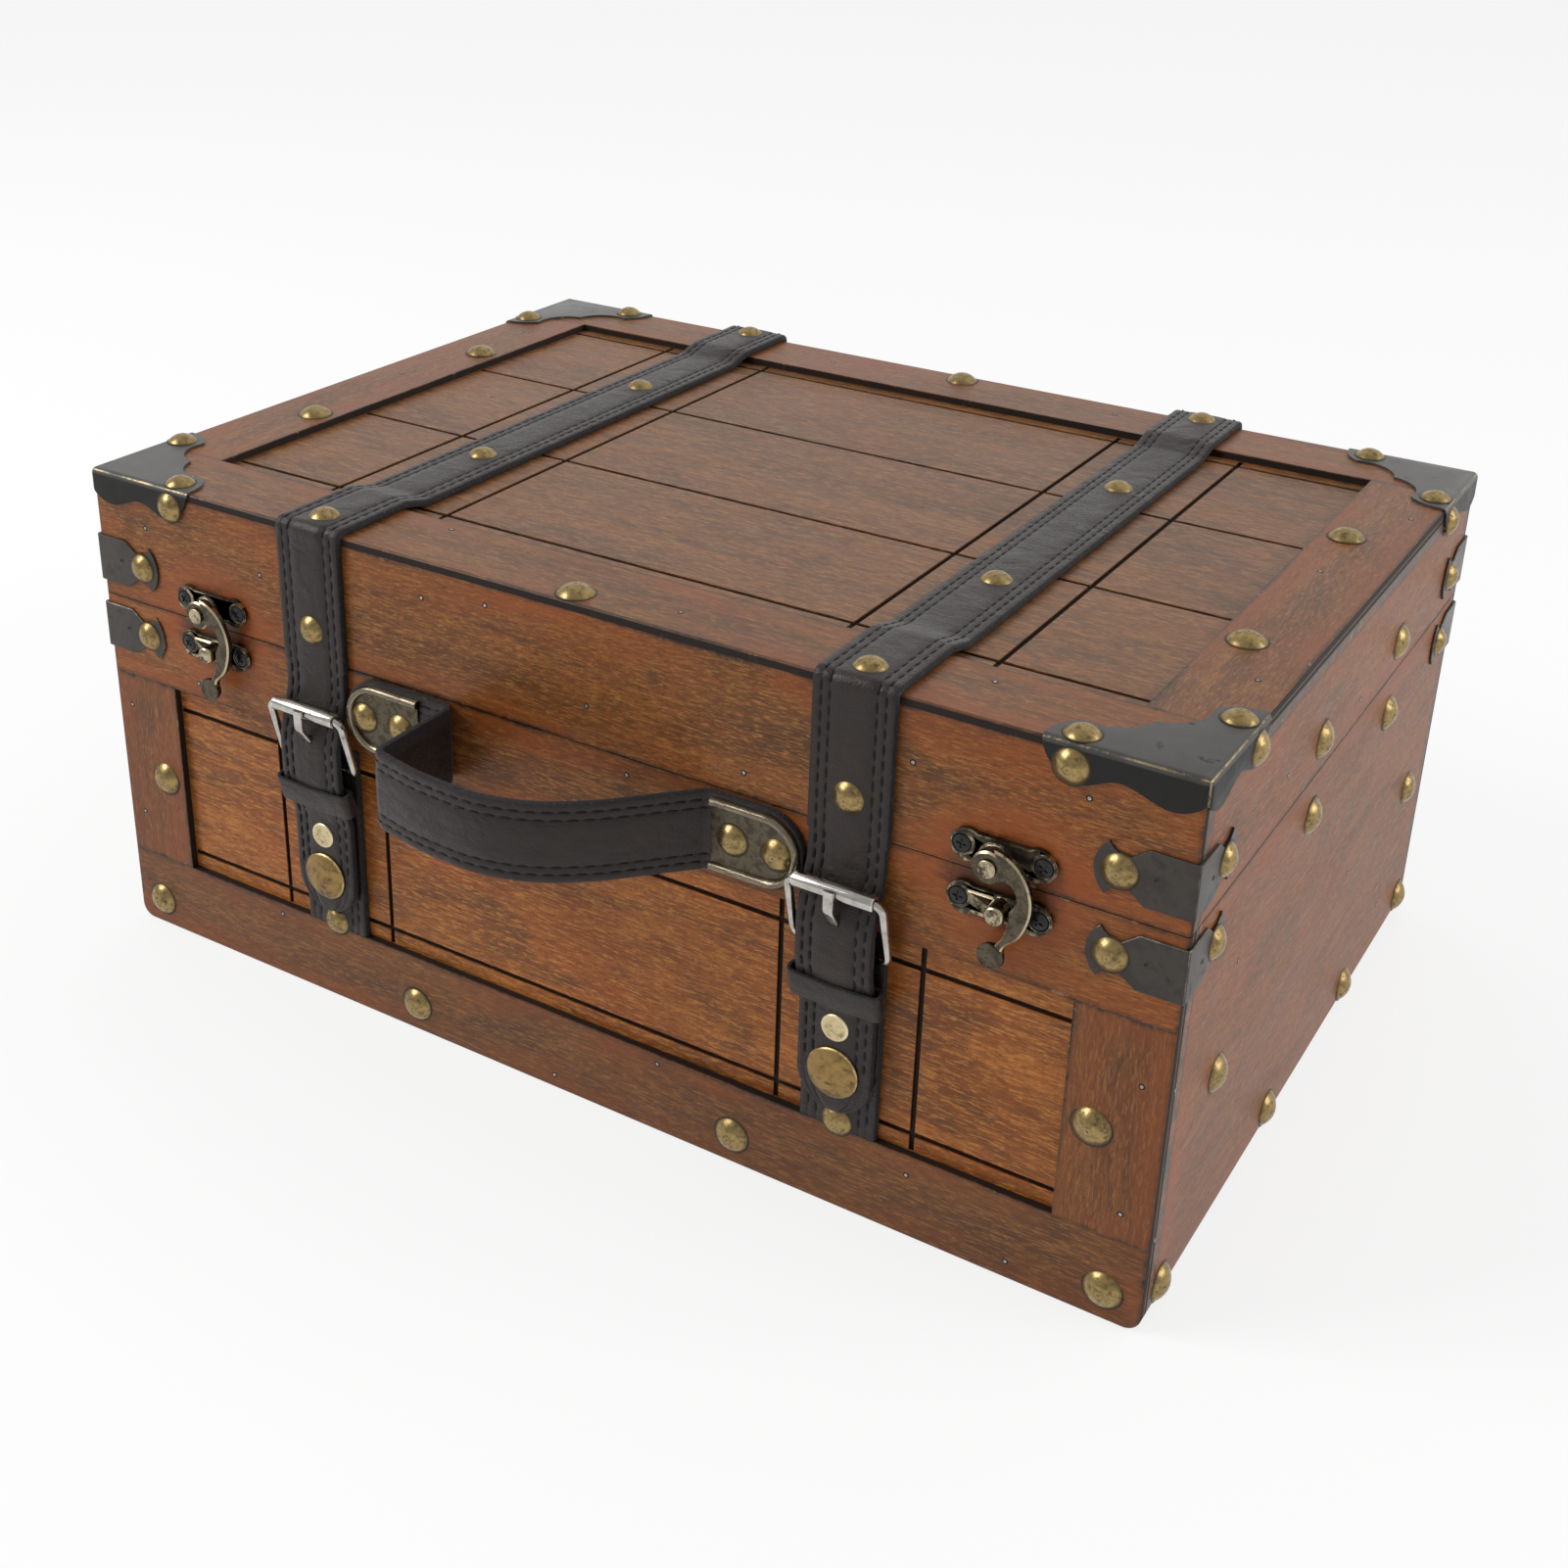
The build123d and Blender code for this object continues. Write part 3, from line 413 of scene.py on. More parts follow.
@dataclass(frozen=True)
class Board:
    """How one packed board lies: its grain, its shown face and how deep its rim is burnt."""

    node: str
    grain: Axis
    face: Axis
    way: int
    burn_reach: float
    stained: bool = False


@dataclass(frozen=True)
class WoodFinish:
    """Stained, thinly lacquered wood with smoky streaks, fine fibres and scorched edges."""

    base: Color = (0.285, 0.095, 0.020)
    deep: Color = (0.096, 0.030, 0.007)
    light: Color = (0.420, 0.190, 0.046)
    glow: Color = (0.270, 0.064, 0.011)
    smoke: Color = (0.044, 0.027, 0.013)
    scorched: Color = (0.012, 0.007, 0.005)
    pale: Color = (0.340, 0.210, 0.120)
    glowing: float = 0.80
    smokiness: float = 0.72
    ripple: float = 0.0
    edge_width: float = 1.7
    roughness: float = 0.36
    gloss: float = 0.26
    stain: Stain = Stain()

    def build(self, board: Board, corners: Corners, seed: float) -> bpy.types.Material:
        """Make the wood of one board.

        Args:
            board: How the board lies.
            corners: Its lowest and highest corners, in metres.
            seed: A shift that makes its grain its own.

        Returns:
            The material.
        """
        graph = Graph(f"wood_{board.node}")

        def streaks(
            across: float, ratio: float, detail: float, rough: float, warp: float, shift: float
        ) -> Socket:
            """Noise drawn out along the grain."""
            scale = [across / ratio if axis is board.grain else across for axis in Axis]
            return graph.noise(scale, detail, rough, warp, seed + shift)

        broad = streaks(38.0, 6.0, 5.0, 0.62, 0.9, 0.0)
        medium = streaks(170.0, 9.0, 6.0, 0.68, 0.7, 3.1)
        fine = streaks(620.0, 10.0, 4.0, 0.65, 0.3, 5.3)
        thread = streaks(1000.0, 9.0, 4.0, 0.72, 0.3, 6.1)
        fibre = streaks(1750.0, 6.5, 3.0, 0.68, 0.2, 7.9)
        gleam = streaks(1900.0, 8.0, 3.0, 0.68, 0.3, 8.8)
        grit = streaks(1700.0, 2.2, 2.0, 0.6, 0.0, 9.7)
        smoky = streaks(46.0, 3.4, 6.0, 0.72, 1.6, 13.0)
        ember = streaks(26.0, 2.3, 4.0, 0.60, 1.0, 17.0)
        shares = ((broad, 0.40), (medium, 0.20), (fine, 0.20), (fibre, 0.20))
        tone = graph.plus(*(graph.times(part, share) for part, share in shares))
        if self.ripple:
            tone = graph.plus(tone, graph.around(streaks(70.0, 0.22, 4.0, 0.6, 1.5, 21.0), self.ripple))
        color = graph.mix(graph.remap(tone, 0.38, 0.60), self.deep, self.base)
        for part, low, high, most, tint in (
            (ember, 0.46, 0.68, self.glowing, self.glow),
            (smoky, 0.47, 0.68, self.smokiness, self.smoke),
            (thread, 0.50, 0.66, 0.36, self.smoke),
            (fibre, 0.50, 0.61, 0.85, self.deep),
            (fine, 0.50, 0.72, 0.28, self.light),
            (gleam, 0.50, 0.64, 0.62, self.light),
            (grit, 0.54, 0.70, 0.50, self.deep),
        ):
            color = graph.mix(graph.remap(part, low, high, 0.0, most), color, tint)
        nick = graph.remap(graph.cells(42.0, seed), 0.030, 0.018)
        color = graph.mix(graph.times(nick, 0.85), color, self.scorched)
        ragged = graph.noise(420.0, 4.0, 0.75, 0.0, seed + 2.0)
        if board.stained:
            # A reddish stain in a wide oval round each latch; the darker oval close round the plates is
            # partly soot and partly painted shadow that the plates cast.
            spread = graph.plus(self._oval(graph), graph.around(medium, 1.3))
            color = graph.mix(graph.remap(spread, 0.85, 1.65, 0.75, 0.0), color, self.glow)
            spread = graph.plus(spread, graph.around(ragged, 0.6))
            color = graph.mix(graph.remap(spread, 0.55, 1.0, 0.88, 0.0), color, self.scorched)
        wobble = graph.plus(graph.around(ragged, 3.0 * MM), graph.around(medium, 5.0 * MM))
        rim = graph.plus(self._rim(graph, board.face, corners), wobble)
        reddened = graph.remap(rim, 0.0, 15.0 * MM, 0.55, 0.0)
        color = graph.mix(graph.times(reddened, graph.remap(ember, 0.3, 0.6)), color, self.glow)
        color = graph.mix(graph.remap(rim, 0.0, self.edge_width * MM, 0.55, 0.0), color, self.smoke)
        color = graph.mix(graph.remap(rim, -0.6 * MM, 0.4 * MM, 0.85, 0.0), color, self.scorched)
        chips = graph.times(
            graph.remap(rim, 0.0, 0.9 * MM, 1.0, 0.0),
            graph.remap(graph.noise(130.0, 3.0, 0.7, 0.0, seed + 4.0), 0.62, 0.67),
        )
        color = graph.mix(graph.times(chips, 0.6), color, self.pale)
        depth = self._depth(graph, board, corners)
        burnt = graph.times(
            graph.remap(depth, 0.25 * MM, 0.6 * MM),
            graph.remap(depth, board.burn_reach * MM, (board.burn_reach + 0.6) * MM, 1.0, 0.0),
        )
        burnt = graph.times(burnt, graph.remap(ragged, 0.25, 0.5, 0.78, 0.97))
        color = graph.mix(burnt, color, self.scorched)
        roughness = graph.plus(graph.times(medium, 0.20), self.roughness - 0.08, graph.times(burnt, 0.35))
        graph.surface(color, roughness, gloss=self.gloss)
        height = graph.plus(graph.times(fine, 0.7), graph.times(fibre, 0.5), graph.times(medium, 0.8))
        height = graph.minus(graph.minus(height, graph.times(nick, 2.0)), graph.times(chips, 1.5))
        graph.bump(height, 0.14 * MM, 0.65)
        return graph.material

    def _oval(self, graph: Graph) -> Socket:
        """How far a point of a front board is from the stain, as a share of its reach.

        Args:
            graph: The material's nodes.

        Returns:
            The share's socket.
        """
        stain = self.stain
        away = graph.minus(graph.math("ABSOLUTE", graph.coordinate(Axis.X)), stain.across * MM)
        up = graph.minus(graph.coordinate(Axis.Z), stain.level * MM)
        shares = (
            graph.math("POWER", graph.math("DIVIDE", gap, reach * MM), 2.0)
            for gap, reach in ((away, stain.reach_across), (up, stain.reach_up))
        )
        return graph.math("SQRT", graph.plus(*shares))

    @staticmethod
    def _depth(graph: Graph, board: Board, corners: Corners) -> Socket:
        """How far below the shown face a point lies, in metres.

        Args:
            graph: The material's nodes.
            board: How the board lies.
            corners: Its lowest and highest corners.

        Returns:
            The depth's socket.
        """
        place = graph.coordinate(board.face)
        if board.way > 0:
            return graph.minus(corners[1][board.face.value], place)
        return graph.minus(place, corners[0][board.face.value])

    @staticmethod
    def _rim(graph: Graph, face: Axis, corners: Corners) -> Socket:
        """How far a point is from the outline of the shown face, in metres.

        Args:
            graph: The material's nodes.
            face: The axis that the shown face looks along.
            corners: The board's lowest and highest corners.

        Returns:
            The distance's socket.
        """
        sides = []
        for axis in Axis:
            if axis is not face:
                low, high = corners[0][axis.value], corners[1][axis.value]
                away = graph.math("ABSOLUTE", graph.minus(graph.coordinate(axis), (low + high) / 2))
                sides.append(graph.minus((high - low) / 2, away))
        return graph.math("MINIMUM", *sides)


class Finish:
    """A finish that pieces of any shape can share."""

    def build(self, name: str) -> bpy.types.Material:
        """Make the finish's material.

        Args:
            name: The material's name.

        Returns:
            The material.
        """
        graph = Graph(name)
        self.paint(graph)
        return graph.material

    def paint(self, graph: Graph) -> None:
        """Wire the finish, which each kind does in its own way."""
        raise NotImplementedError(f"{type(self).__name__} doesn't wire {graph.material.name}")


@dataclass(frozen=True)
class LeatherFinish(Finish):
    """Dark brown leather with a fine pebbled face and fuzzy cut edges."""

    face: Color = (0.0125, 0.0078, 0.0066)
    lighter: Color = (0.0235, 0.0150, 0.0122)
    groove: Color = (0.006, 0.005, 0.005)
    cut: Color = (0.016, 0.014, 0.015)
    fluff: Color = (0.080, 0.074, 0.074)
    roughness: float = 0.33
    gloss: float = 0.34
    nap: float = 0.12
    sag: float = 7.0

    def paint(self, graph: Graph) -> None:
        """Wire the leather.

        The mesh's "edge" numbers are above zero on cut edges and below zero in seams.

        Args:
            graph: The material's nodes.
        """
        pebble = graph.cells(1250.0, 0.4)
        grit = graph.noise(2600.0, 3.0, 0.6)
        cloudy = graph.noise(55.0, 5.0, 0.65, 0.5, 1.5)
        crease = graph.noise((150.0, 460.0, 330.0), 4.0, 0.65, 1.6, 2.5)
        fuzz = graph.noise(900.0, 4.0, 0.75, 0.0, 6.0)
        wave = graph.noise((70.0, 70.0, 95.0), 2.0, 0.5, 0.8, 9.0)
        number = graph.attribute("edge")
        color = graph.mix(graph.remap(cloudy, 0.35, 0.7), self.face, self.lighter)
        color = graph.mix(graph.remap(pebble, 0.15, 0.6, 0.0, 0.35), color, self.lighter)
        color = graph.mix(graph.times(graph.remap(number, -0.15, -0.85), 0.22), color, self.groove)
        cut = graph.remap(graph.plus(number, graph.times(fuzz, 0.3)), 0.55, 0.9)
        color = graph.mix(cut, color, graph.mix(graph.remap(fuzz, 0.55, 0.75), self.cut, self.fluff))
        roughness = graph.plus(
            graph.times(pebble, 0.20), self.roughness - 0.05,
            graph.times(cut, 0.35), graph.remap(cloudy, 0.3, 0.7, 0.0, 0.10),
        )
        graph.surface(color, roughness, gloss=self.gloss, nap=self.nap, nap_roughness=0.35)
        height = graph.plus(
            graph.times(pebble, -0.5), graph.times(grit, 0.25), graph.times(crease, 1.4),
            graph.times(wave, self.sag), graph.times(graph.times(cut, fuzz), 1.6),
        )
        graph.bump(height, 0.20 * MM, 0.75)


@dataclass(frozen=True)
class ThreadFinish(Finish):
    """Waxed black thread."""

    tone: Color = (0.0025, 0.0025, 0.0025)
    worn: Color = (0.010, 0.009, 0.010)
    gloss: float = 0.22

    def paint(self, graph: Graph) -> None:
        """Wire the thread.

        Args:
            graph: The material's nodes.
        """
        twist = graph.noise((1800.0, 1800.0, 3600.0), 2.0)
        color = graph.mix(graph.remap(twist, 0.5, 0.75), self.tone, self.worn)
        graph.surface(color, graph.remap(twist, 0.3, 0.7, 0.40, 0.60), gloss=self.gloss)
        graph.bump(twist, 0.1 * MM, 0.8)


@dataclass(frozen=True)
class MetalFinish(Finish):
    """A worn metal: a main tone, a patina in patches and bare metal on edges.

    The mesh's "edge" numbers say where it is rubbed, from 0 to 1, and its
    second layer's numbers say where dirt gathers and where shade is painted, both in the patina tone.
    """

    main: Color
    other: Color
    patina_and_shade: Color
    rubbed: Color
    metallic: float
    roughness: float = 0.35
    patch_scale: float = 160.0
    patina_and_shade_share: float = 0.5
    rub_start: float = 0.55
    pits: float = 0.4
    nap: float = 0.0
    relief: float = 0.55
    gloss: float = 0.5

    def paint(self, graph: Graph) -> None:
        """Wire the metal.

        Args:
            graph: The material's nodes.
        """
        patch = graph.noise(self.patch_scale, 5.0, 0.65, 0.4, 0.7)
        speck = graph.noise(1500.0, 3.0, 0.7, 0.0, 3.7)
        scratch = graph.noise((260.0, 900.0, 2600.0), 2.0, 0.6, 0.8, 5.1)
        edge = graph.attribute("edge")
        dirt_and_shade = graph.attribute("dirt_and_shade")
        color = graph.mix(graph.remap(patch, 0.38, 0.62), self.main, self.other)
        patina_and_shade_mask = graph.remap(patch, 0.66 - 0.24 * self.patina_and_shade_share, 0.72, 0.0, 0.8)
        # The second layer brings in dirt in hollows and painted shade: the corner plates' darker flaps and
        # the dark ring round each nail head.
        patina_and_shade_mask = graph.math("MAXIMUM", patina_and_shade_mask, dirt_and_shade)
        patina_and_shade_mask = graph.math("MAXIMUM", patina_and_shade_mask, graph.remap(speck, 0.62, 0.7, 0.0, self.patina_and_shade_share))
        color = graph.mix(patina_and_shade_mask, color, self.patina_and_shade)
        rub = graph.plus(edge, graph.around(speck, 0.5), graph.around(patch, 1.1))
        rub = graph.remap(rub, self.rub_start, self.rub_start + 0.3)
        color = graph.mix(rub, color, self.rubbed)
        metallic = graph.plus(graph.times(rub, 1.0 - self.metallic), self.metallic)
        lost = graph.times(patina_and_shade_mask, 0.35 * self.metallic)
        metallic = graph.math("SUBTRACT", metallic, lost, clamp=True)
        roughness = graph.plus(
            graph.remap(patch, 0.3, 0.7, -0.05, 0.08), self.roughness, graph.times(patina_and_shade_mask, 0.22)
        )
        graph.surface(color, roughness, metallic, self.gloss, self.nap, nap_roughness=0.3)
        height = graph.plus(graph.times(scratch, 0.35), graph.times(patch, 0.5))
        height = graph.minus(height, graph.remap(speck, 0.6, 0.72, 0.0, self.pits))
        graph.bump(height, 0.10 * MM, self.relief)


class Paints:
    """Every finish that pieces share, made once."""

    def __init__(self) -> None:
        """Make the shared materials."""
        self.leather = LeatherFinish().build("leather")
        self.thread = ThreadFinish().build("thread")
        # The stud brass's patina tone also paints the shadow ring round each nail head.
        self.stud = MetalFinish(
            main=(0.36, 0.255, 0.105), other=(0.24, 0.168, 0.072), patina_and_shade=(0.036, 0.026, 0.015),
            rubbed=(0.64, 0.51, 0.27), metallic=0.95, roughness=0.27, patch_scale=620.0,
            patina_and_shade_share=0.5, relief=0.25,
        ).build("stud_brass")
        self.snap = MetalFinish(
            main=(0.32, 0.205, 0.075), other=(0.23, 0.148, 0.058), patina_and_shade=(0.045, 0.030, 0.017),
            rubbed=(0.60, 0.47, 0.24), metallic=0.95, roughness=0.38, patch_scale=300.0,
            patina_and_shade_share=0.6,
        ).build("snap_brass")
        self.pale = MetalFinish(
            main=(0.64, 0.53, 0.31), other=(0.52, 0.42, 0.23), patina_and_shade=(0.110, 0.080, 0.045),
            rubbed=(0.78, 0.68, 0.45), metallic=0.95, roughness=0.34, patch_scale=520.0,
            patina_and_shade_share=0.6,
        ).build("pale_brass")
        self.nickel = MetalFinish(
            main=(0.52, 0.50, 0.465), other=(0.42, 0.395, 0.36), patina_and_shade=(0.10, 0.088, 0.072),
            rubbed=(0.80, 0.78, 0.74), metallic=1.0, roughness=0.16, patch_scale=200.0,
            patina_and_shade_share=0.3, pits=0.0, relief=0.04,
        ).build("nickel")
        # The blackened steel's patina tone also paints the shade on the corner plates' flaps.
        self.blackened = MetalFinish(
            main=(0.056, 0.054, 0.050), other=(0.072, 0.068, 0.062), patina_and_shade=(0.004, 0.0035, 0.003),
            rubbed=(0.36, 0.28, 0.15), metallic=0.12, roughness=0.34, patch_scale=110.0,
            patina_and_shade_share=0.25, rub_start=0.86, nap=0.15, gloss=0.30,
        ).build("blackened_steel")
        self.band = MetalFinish(
            main=(0.030, 0.024, 0.020), other=(0.050, 0.042, 0.035), patina_and_shade=(0.018, 0.013, 0.010),
            rubbed=(0.22, 0.19, 0.15), metallic=0.25, roughness=0.38, patch_scale=110.0,
            patina_and_shade_share=0.5, rub_start=0.90, nap=0.12, gloss=0.42,
        ).build("band_steel")
        self.bronze = MetalFinish(
            main=(0.058, 0.047, 0.034), other=(0.128, 0.105, 0.070), patina_and_shade=(0.014, 0.011, 0.009),
            rubbed=(0.50, 0.42, 0.27), metallic=0.95, roughness=0.28, patch_scale=330.0,
            patina_and_shade_share=0.55, rub_start=0.64,
        ).build("bronzed_steel")
        self.rim = MetalFinish(
            main=(0.22, 0.185, 0.130), other=(0.135, 0.112, 0.078), patina_and_shade=(0.034, 0.027, 0.020),
            rubbed=(0.50, 0.435, 0.32), metallic=0.95, roughness=0.24, patch_scale=190.0,
            patina_and_shade_share=0.5, rub_start=0.85,
        ).build("plate_rim_metal")
        self.screw = MetalFinish(
            main=(0.012, 0.012, 0.012), other=(0.020, 0.019, 0.018), patina_and_shade=(0.006, 0.006, 0.006),
            rubbed=(0.12, 0.11, 0.10), metallic=0.4, roughness=0.36, patch_scale=500.0,
            patina_and_shade_share=0.3, rub_start=0.8,
        ).build("black_screw")
        self.brad = MetalFinish(
            main=(0.26, 0.25, 0.24), other=(0.16, 0.15, 0.14), patina_and_shade=(0.020, 0.016, 0.012),
            rubbed=(0.65, 0.64, 0.62), metallic=0.9, roughness=0.35, patch_scale=900.0,
            patina_and_shade_share=0.5,
        ).build("brad_steel")


# Mesh building


class Shape:
    """A mesh under construction, in millimetres in the part's frame."""

    SHARP = math.radians(38.0)

    def __init__(self) -> None:
        """Start an empty mesh with its two number layers."""
        self.mesh = bmesh.new()
        self.edge = self.mesh.verts.layers.float.new("edge")
        self.dirt_and_shade = self.mesh.verts.layers.float.new("dirt_and_shade")

    @classmethod
    def block(cls, size: Sequence[float], place: Optional[Matrix] = None) -> Shape:
        """A plain block to cut with.

        Args:
            size: Its three lengths.
            place: Where its middle goes, the part's origin if not given.

        Returns:
            The block's shape.
        """
        shape = cls()
        verts = bmesh.ops.create_cube(shape.mesh, size=1.0)["verts"]
        bmesh.ops.scale(shape.mesh, vec=size, verts=verts)
        if place:
            bmesh.ops.transform(shape.mesh, matrix=place, verts=verts)
        return shape

    def cut(self, cutter: Shape, operation: str = "DIFFERENCE") -> None:
        """Cut another shape out of this one, or keep what both share.

        Args:
            cutter: The other shape, used up.
            operation: The boolean's operation.
        """
        pair = []
        for shape in (self, cutter):
            data = bpy.data.meshes.new("cut")
            bmesh.ops.recalc_face_normals(shape.mesh, faces=shape.mesh.faces)
            shape.mesh.to_mesh(data)
            shape.mesh.free()
            pair.append(placed("cut", data))
        body, tool = pair
        modifier = body.modifiers.new("cut", "BOOLEAN")
        modifier.operation = operation
        modifier.solver = "EXACT"
        modifier.object = tool
        bpy.context.view_layer.update()
        graph = bpy.context.evaluated_depsgraph_get()
        result = bpy.data.meshes.new_from_object(body.evaluated_get(graph))
        self.mesh = bmesh.new()
        self.mesh.from_mesh(result)
        layers = self.mesh.verts.layers.float
        self.edge, self.dirt_and_shade = (layers.get(name) or layers.new(name) for name in ("edge", "dirt_and_shade"))
        for item in pair:
            bpy.data.objects.remove(item)
        bpy.data.meshes.remove(result)

    def lathe(self, profile: Sequence[Sequence[float]], place: Matrix, steps: int = 28) -> None:
        """Spin a profile about its own Z axis and put it in place.

        Args:
            profile: Rows of radius, height, and numbers for the "edge" layer and the layer of dirt and
                painted shade.
            place: Where the profile's origin goes.
            steps: How many steps a full turn takes.
        """
        verts = []
        for radius, height, rubbed, dirt_shade in profile:
            vert = self.mesh.verts.new((radius, 0.0, height))
            vert[self.edge] = rubbed
            vert[self.dirt_and_shade] = dirt_shade
            verts.append(vert)
        lines = [self.mesh.edges.new(pair) for pair in zip(verts, verts[1:])]
        before = set(self.mesh.verts) - set(verts)
        bmesh.ops.spin(
            self.mesh, geom=verts + lines, cent=(0, 0, 0), axis=(0, 0, 1), angle=math.tau, steps=steps,
            use_merge=True,
        )
        fresh = [vert for vert in self.mesh.verts if vert not in before]
        bmesh.ops.remove_doubles(self.mesh, verts=fresh, dist=1e-4)
        fresh = [vert for vert in self.mesh.verts if vert not in before]
        bmesh.ops.transform(self.mesh, matrix=place, verts=fresh)

    def append(self, master: bpy.types.Mesh, place: Matrix) -> None:
        """Add one more copy of a finished master mesh.

        Args:
            master: The mesh to copy, in millimetres.
            place: Where its origin goes.
        """
        count = len(self.mesh.verts)
        self.mesh.from_mesh(master)
        self.mesh.verts.ensure_lookup_table()
        bmesh.ops.transform(self.mesh, matrix=place, verts=self.mesh.verts[count:])

    def copy_node(self, node: str) -> None:
        """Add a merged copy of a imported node, its flat faces made whole.

        Args:
            node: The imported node's name.
        """
        source = bpy.data.objects[node].data
        self.mesh.from_mesh(source)
        bmesh.ops.scale(self.mesh, vec=(1 / MM,) * 3, verts=self.mesh.verts)
        bmesh.ops.remove_doubles(self.mesh, verts=self.mesh.verts, dist=2e-3)
        bmesh.ops.dissolve_limit(
            self.mesh, angle_limit=math.radians(0.6), use_dissolve_boundaries=False,
            verts=self.mesh.verts, edges=self.mesh.edges, delimit={"NORMAL"},
        )

    def sharp_edges(self, limit: float) -> list[bmesh.types.BMEdge]:
        """Edges whose faces meet at more than an angle in radians."""
        return [edge for edge in self.mesh.edges if edge.is_manifold and edge.calc_face_angle(0.0) > limit]

    def ease(self, width: float, segments: int = 2, least: float = 50.0) -> None:
        """Bevel the sharp edges.

        Args:
            width: The bevel's width.
            segments: Its segments.
            least: The least angle of an edge that is eased, in degrees.
        """
        self.bevel(self.sharp_edges(math.radians(least)), width, segments)

    def bevel(self, edges: Sequence[bmesh.types.BMEdge], width: float, segments: int) -> None:
        """Bevel some edges.

        Args:
            edges: The edges.
            width: The bevel's width.
            segments: Its segments.
        """
        bmesh.ops.bevel(
            self.mesh, geom=edges, offset=width, offset_type="OFFSET", segments=segments,
            profile=0.5, affect="EDGES", material=-1, clamp_overlap=True,
        )

    def rub_slanted(self, flat: float = 0.985, steep: float = 0.80) -> None:
        """Note how rubbed each face is by how far it turns from the three axes.

        Args:
            flat: How well a face has to look along an axis to stay unrubbed.
            steep: How little it has to look along one to be fully rubbed.
        """
        rubbed = self.mesh.loops.layers.float.new("edge")
        self.mesh.verts.layers.float.remove(self.edge)
        for face in self.mesh.faces:
            level = max(abs(number) for number in face.normal)
            slant = min(1.0, max(0.0, (flat - level) / (flat - steep)))
            for corner in face.loops:
                corner[rubbed] = slant

    def finish(self, name: str, material: bpy.types.Material, slot: str, *nodes: str) -> bpy.types.Object:
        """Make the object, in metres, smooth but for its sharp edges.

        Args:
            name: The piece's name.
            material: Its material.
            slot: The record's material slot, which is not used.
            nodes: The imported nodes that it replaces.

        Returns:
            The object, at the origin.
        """
        bmesh.ops.recalc_face_normals(self.mesh, faces=self.mesh.faces)
        for face in self.mesh.faces:
            face.smooth = True
        sharp = set(self.sharp_edges(self.SHARP))
        for edge in self.mesh.edges:
            edge.smooth = edge not in sharp
        bmesh.ops.scale(self.mesh, vec=(MM,) * 3, verts=self.mesh.verts)
        data = bpy.data.meshes.new(name)
        self.mesh.to_mesh(data)
        self.mesh.free()
        data.materials.append(material)
        piece = placed(name, data)
        if nodes:
            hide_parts(*nodes)
        LOG.info("%s: %d faces", name, len(data.polygons))
        return piece

    def fit(self, name: str, material: bpy.types.Material, body: str, slot: str, *nodes: str) -> None:
        """Make the object and let it ride on a body.

        Args:
            name: The piece's name.
            material: Its material.
            body: The body that it moves with.
            slot: The record's material slot.
            nodes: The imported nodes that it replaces.
        """
        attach(self.finish(name, material, slot, *nodes), body)

    def fit_twin(
        self, side: Side, name: str, material: bpy.types.Material, body: str, slot: str, node: str
    ) -> None:
        """Fit a piece of a left and right pair whose body and node are its side's own too.

        Args:
            side: The side, whose word starts all three names.
            name: The rest of the piece's name.
            material: Its material.
            body: The rest of its body's name.
            slot: The record's material slot.
            node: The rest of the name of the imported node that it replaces.
        """
        word = side.word
        self.fit(f"{word}_{name}", material, f"{word}_{body}", slot, f"{word}_{node}")

    def master(self) -> bpy.types.Mesh:
        """Make a mesh to copy from, in millimetres, and let this shape go.

        Returns:
            The mesh.
        """
        bmesh.ops.recalc_face_normals(self.mesh, faces=self.mesh.faces)
        data = bpy.data.meshes.new("master")
        self.mesh.to_mesh(data)
        self.mesh.free()
        return data


def placed(name: str, data: bpy.types.ID) -> bpy.types.Object:
    """Put a new object in the scene, at its origin.

    Args:
        name: The object's name.
        data: Its mesh, camera or lamp.

    Returns:
        The object.
    """
    item = bpy.data.objects.new(name, data)
    bpy.context.scene.collection.objects.link(item)
    return item


def axes(across: Vector, up: Vector, out: Vector, origin: Vector) -> Matrix:
    """A place with three given axes.

    Args:
        across: Its X axis.
        up: Its Y axis.
        out: Its Z axis.
        origin: Its origin.

    Returns:
        The place's matrix.
    """
    rows = Matrix((across, up, out)).transposed().to_4x4()
    rows.translation = origin
    return rows


def facing(origin: Vector, out: Vector, up: Vector) -> Matrix:
    """A place whose Z axis looks out of a face.

    Args:
        origin: The place's origin.
        out: The way that Z looks.
        up: The way that Y looks.

    Returns:
        The place's matrix.
    """
    return axes(up.cross(out), up, out, origin)


def on_front(x: float, z: float, rise: float = 0.0) -> Matrix:
    """A place on the front face."""
    return facing(Vector((x, FRONT - rise, z)), -ALONG_Y, ALONG_Z)


def on_back(x: float, z: float, rise: float = 0.0) -> Matrix:
    """A place on the back face."""
    return facing(Vector((x, BACK + rise, z)), ALONG_Y, ALONG_Z)


def on_side(way: int, y: float, z: float, rise: float = 0.0) -> Matrix:
    """A place on the left or right face."""
    return facing(Vector((way * (HALF_WIDTH + rise), y, z)), ALONG_X * way, ALONG_Z)


def on_top(x: float, y: float, rise: float = 0.0) -> Matrix:
    """A place on the top face."""
    return facing(Vector((x, y, CASE_HEIGHT + rise)), ALONG_Z, ALONG_Y)


# Routes and swept bands


@dataclass(frozen=True)
class Station:
    """A place on a route, with how far along it lies and how its section is scaled."""

    place: Matrix
    distance: float
    width: float = 1.0
    depth: float = 1.0

    def section(self) -> Matrix:
        """The matrix that puts a section at this station."""
        return self.place @ Matrix.Diagonal((self.width, self.depth, 1.0, 1.0))


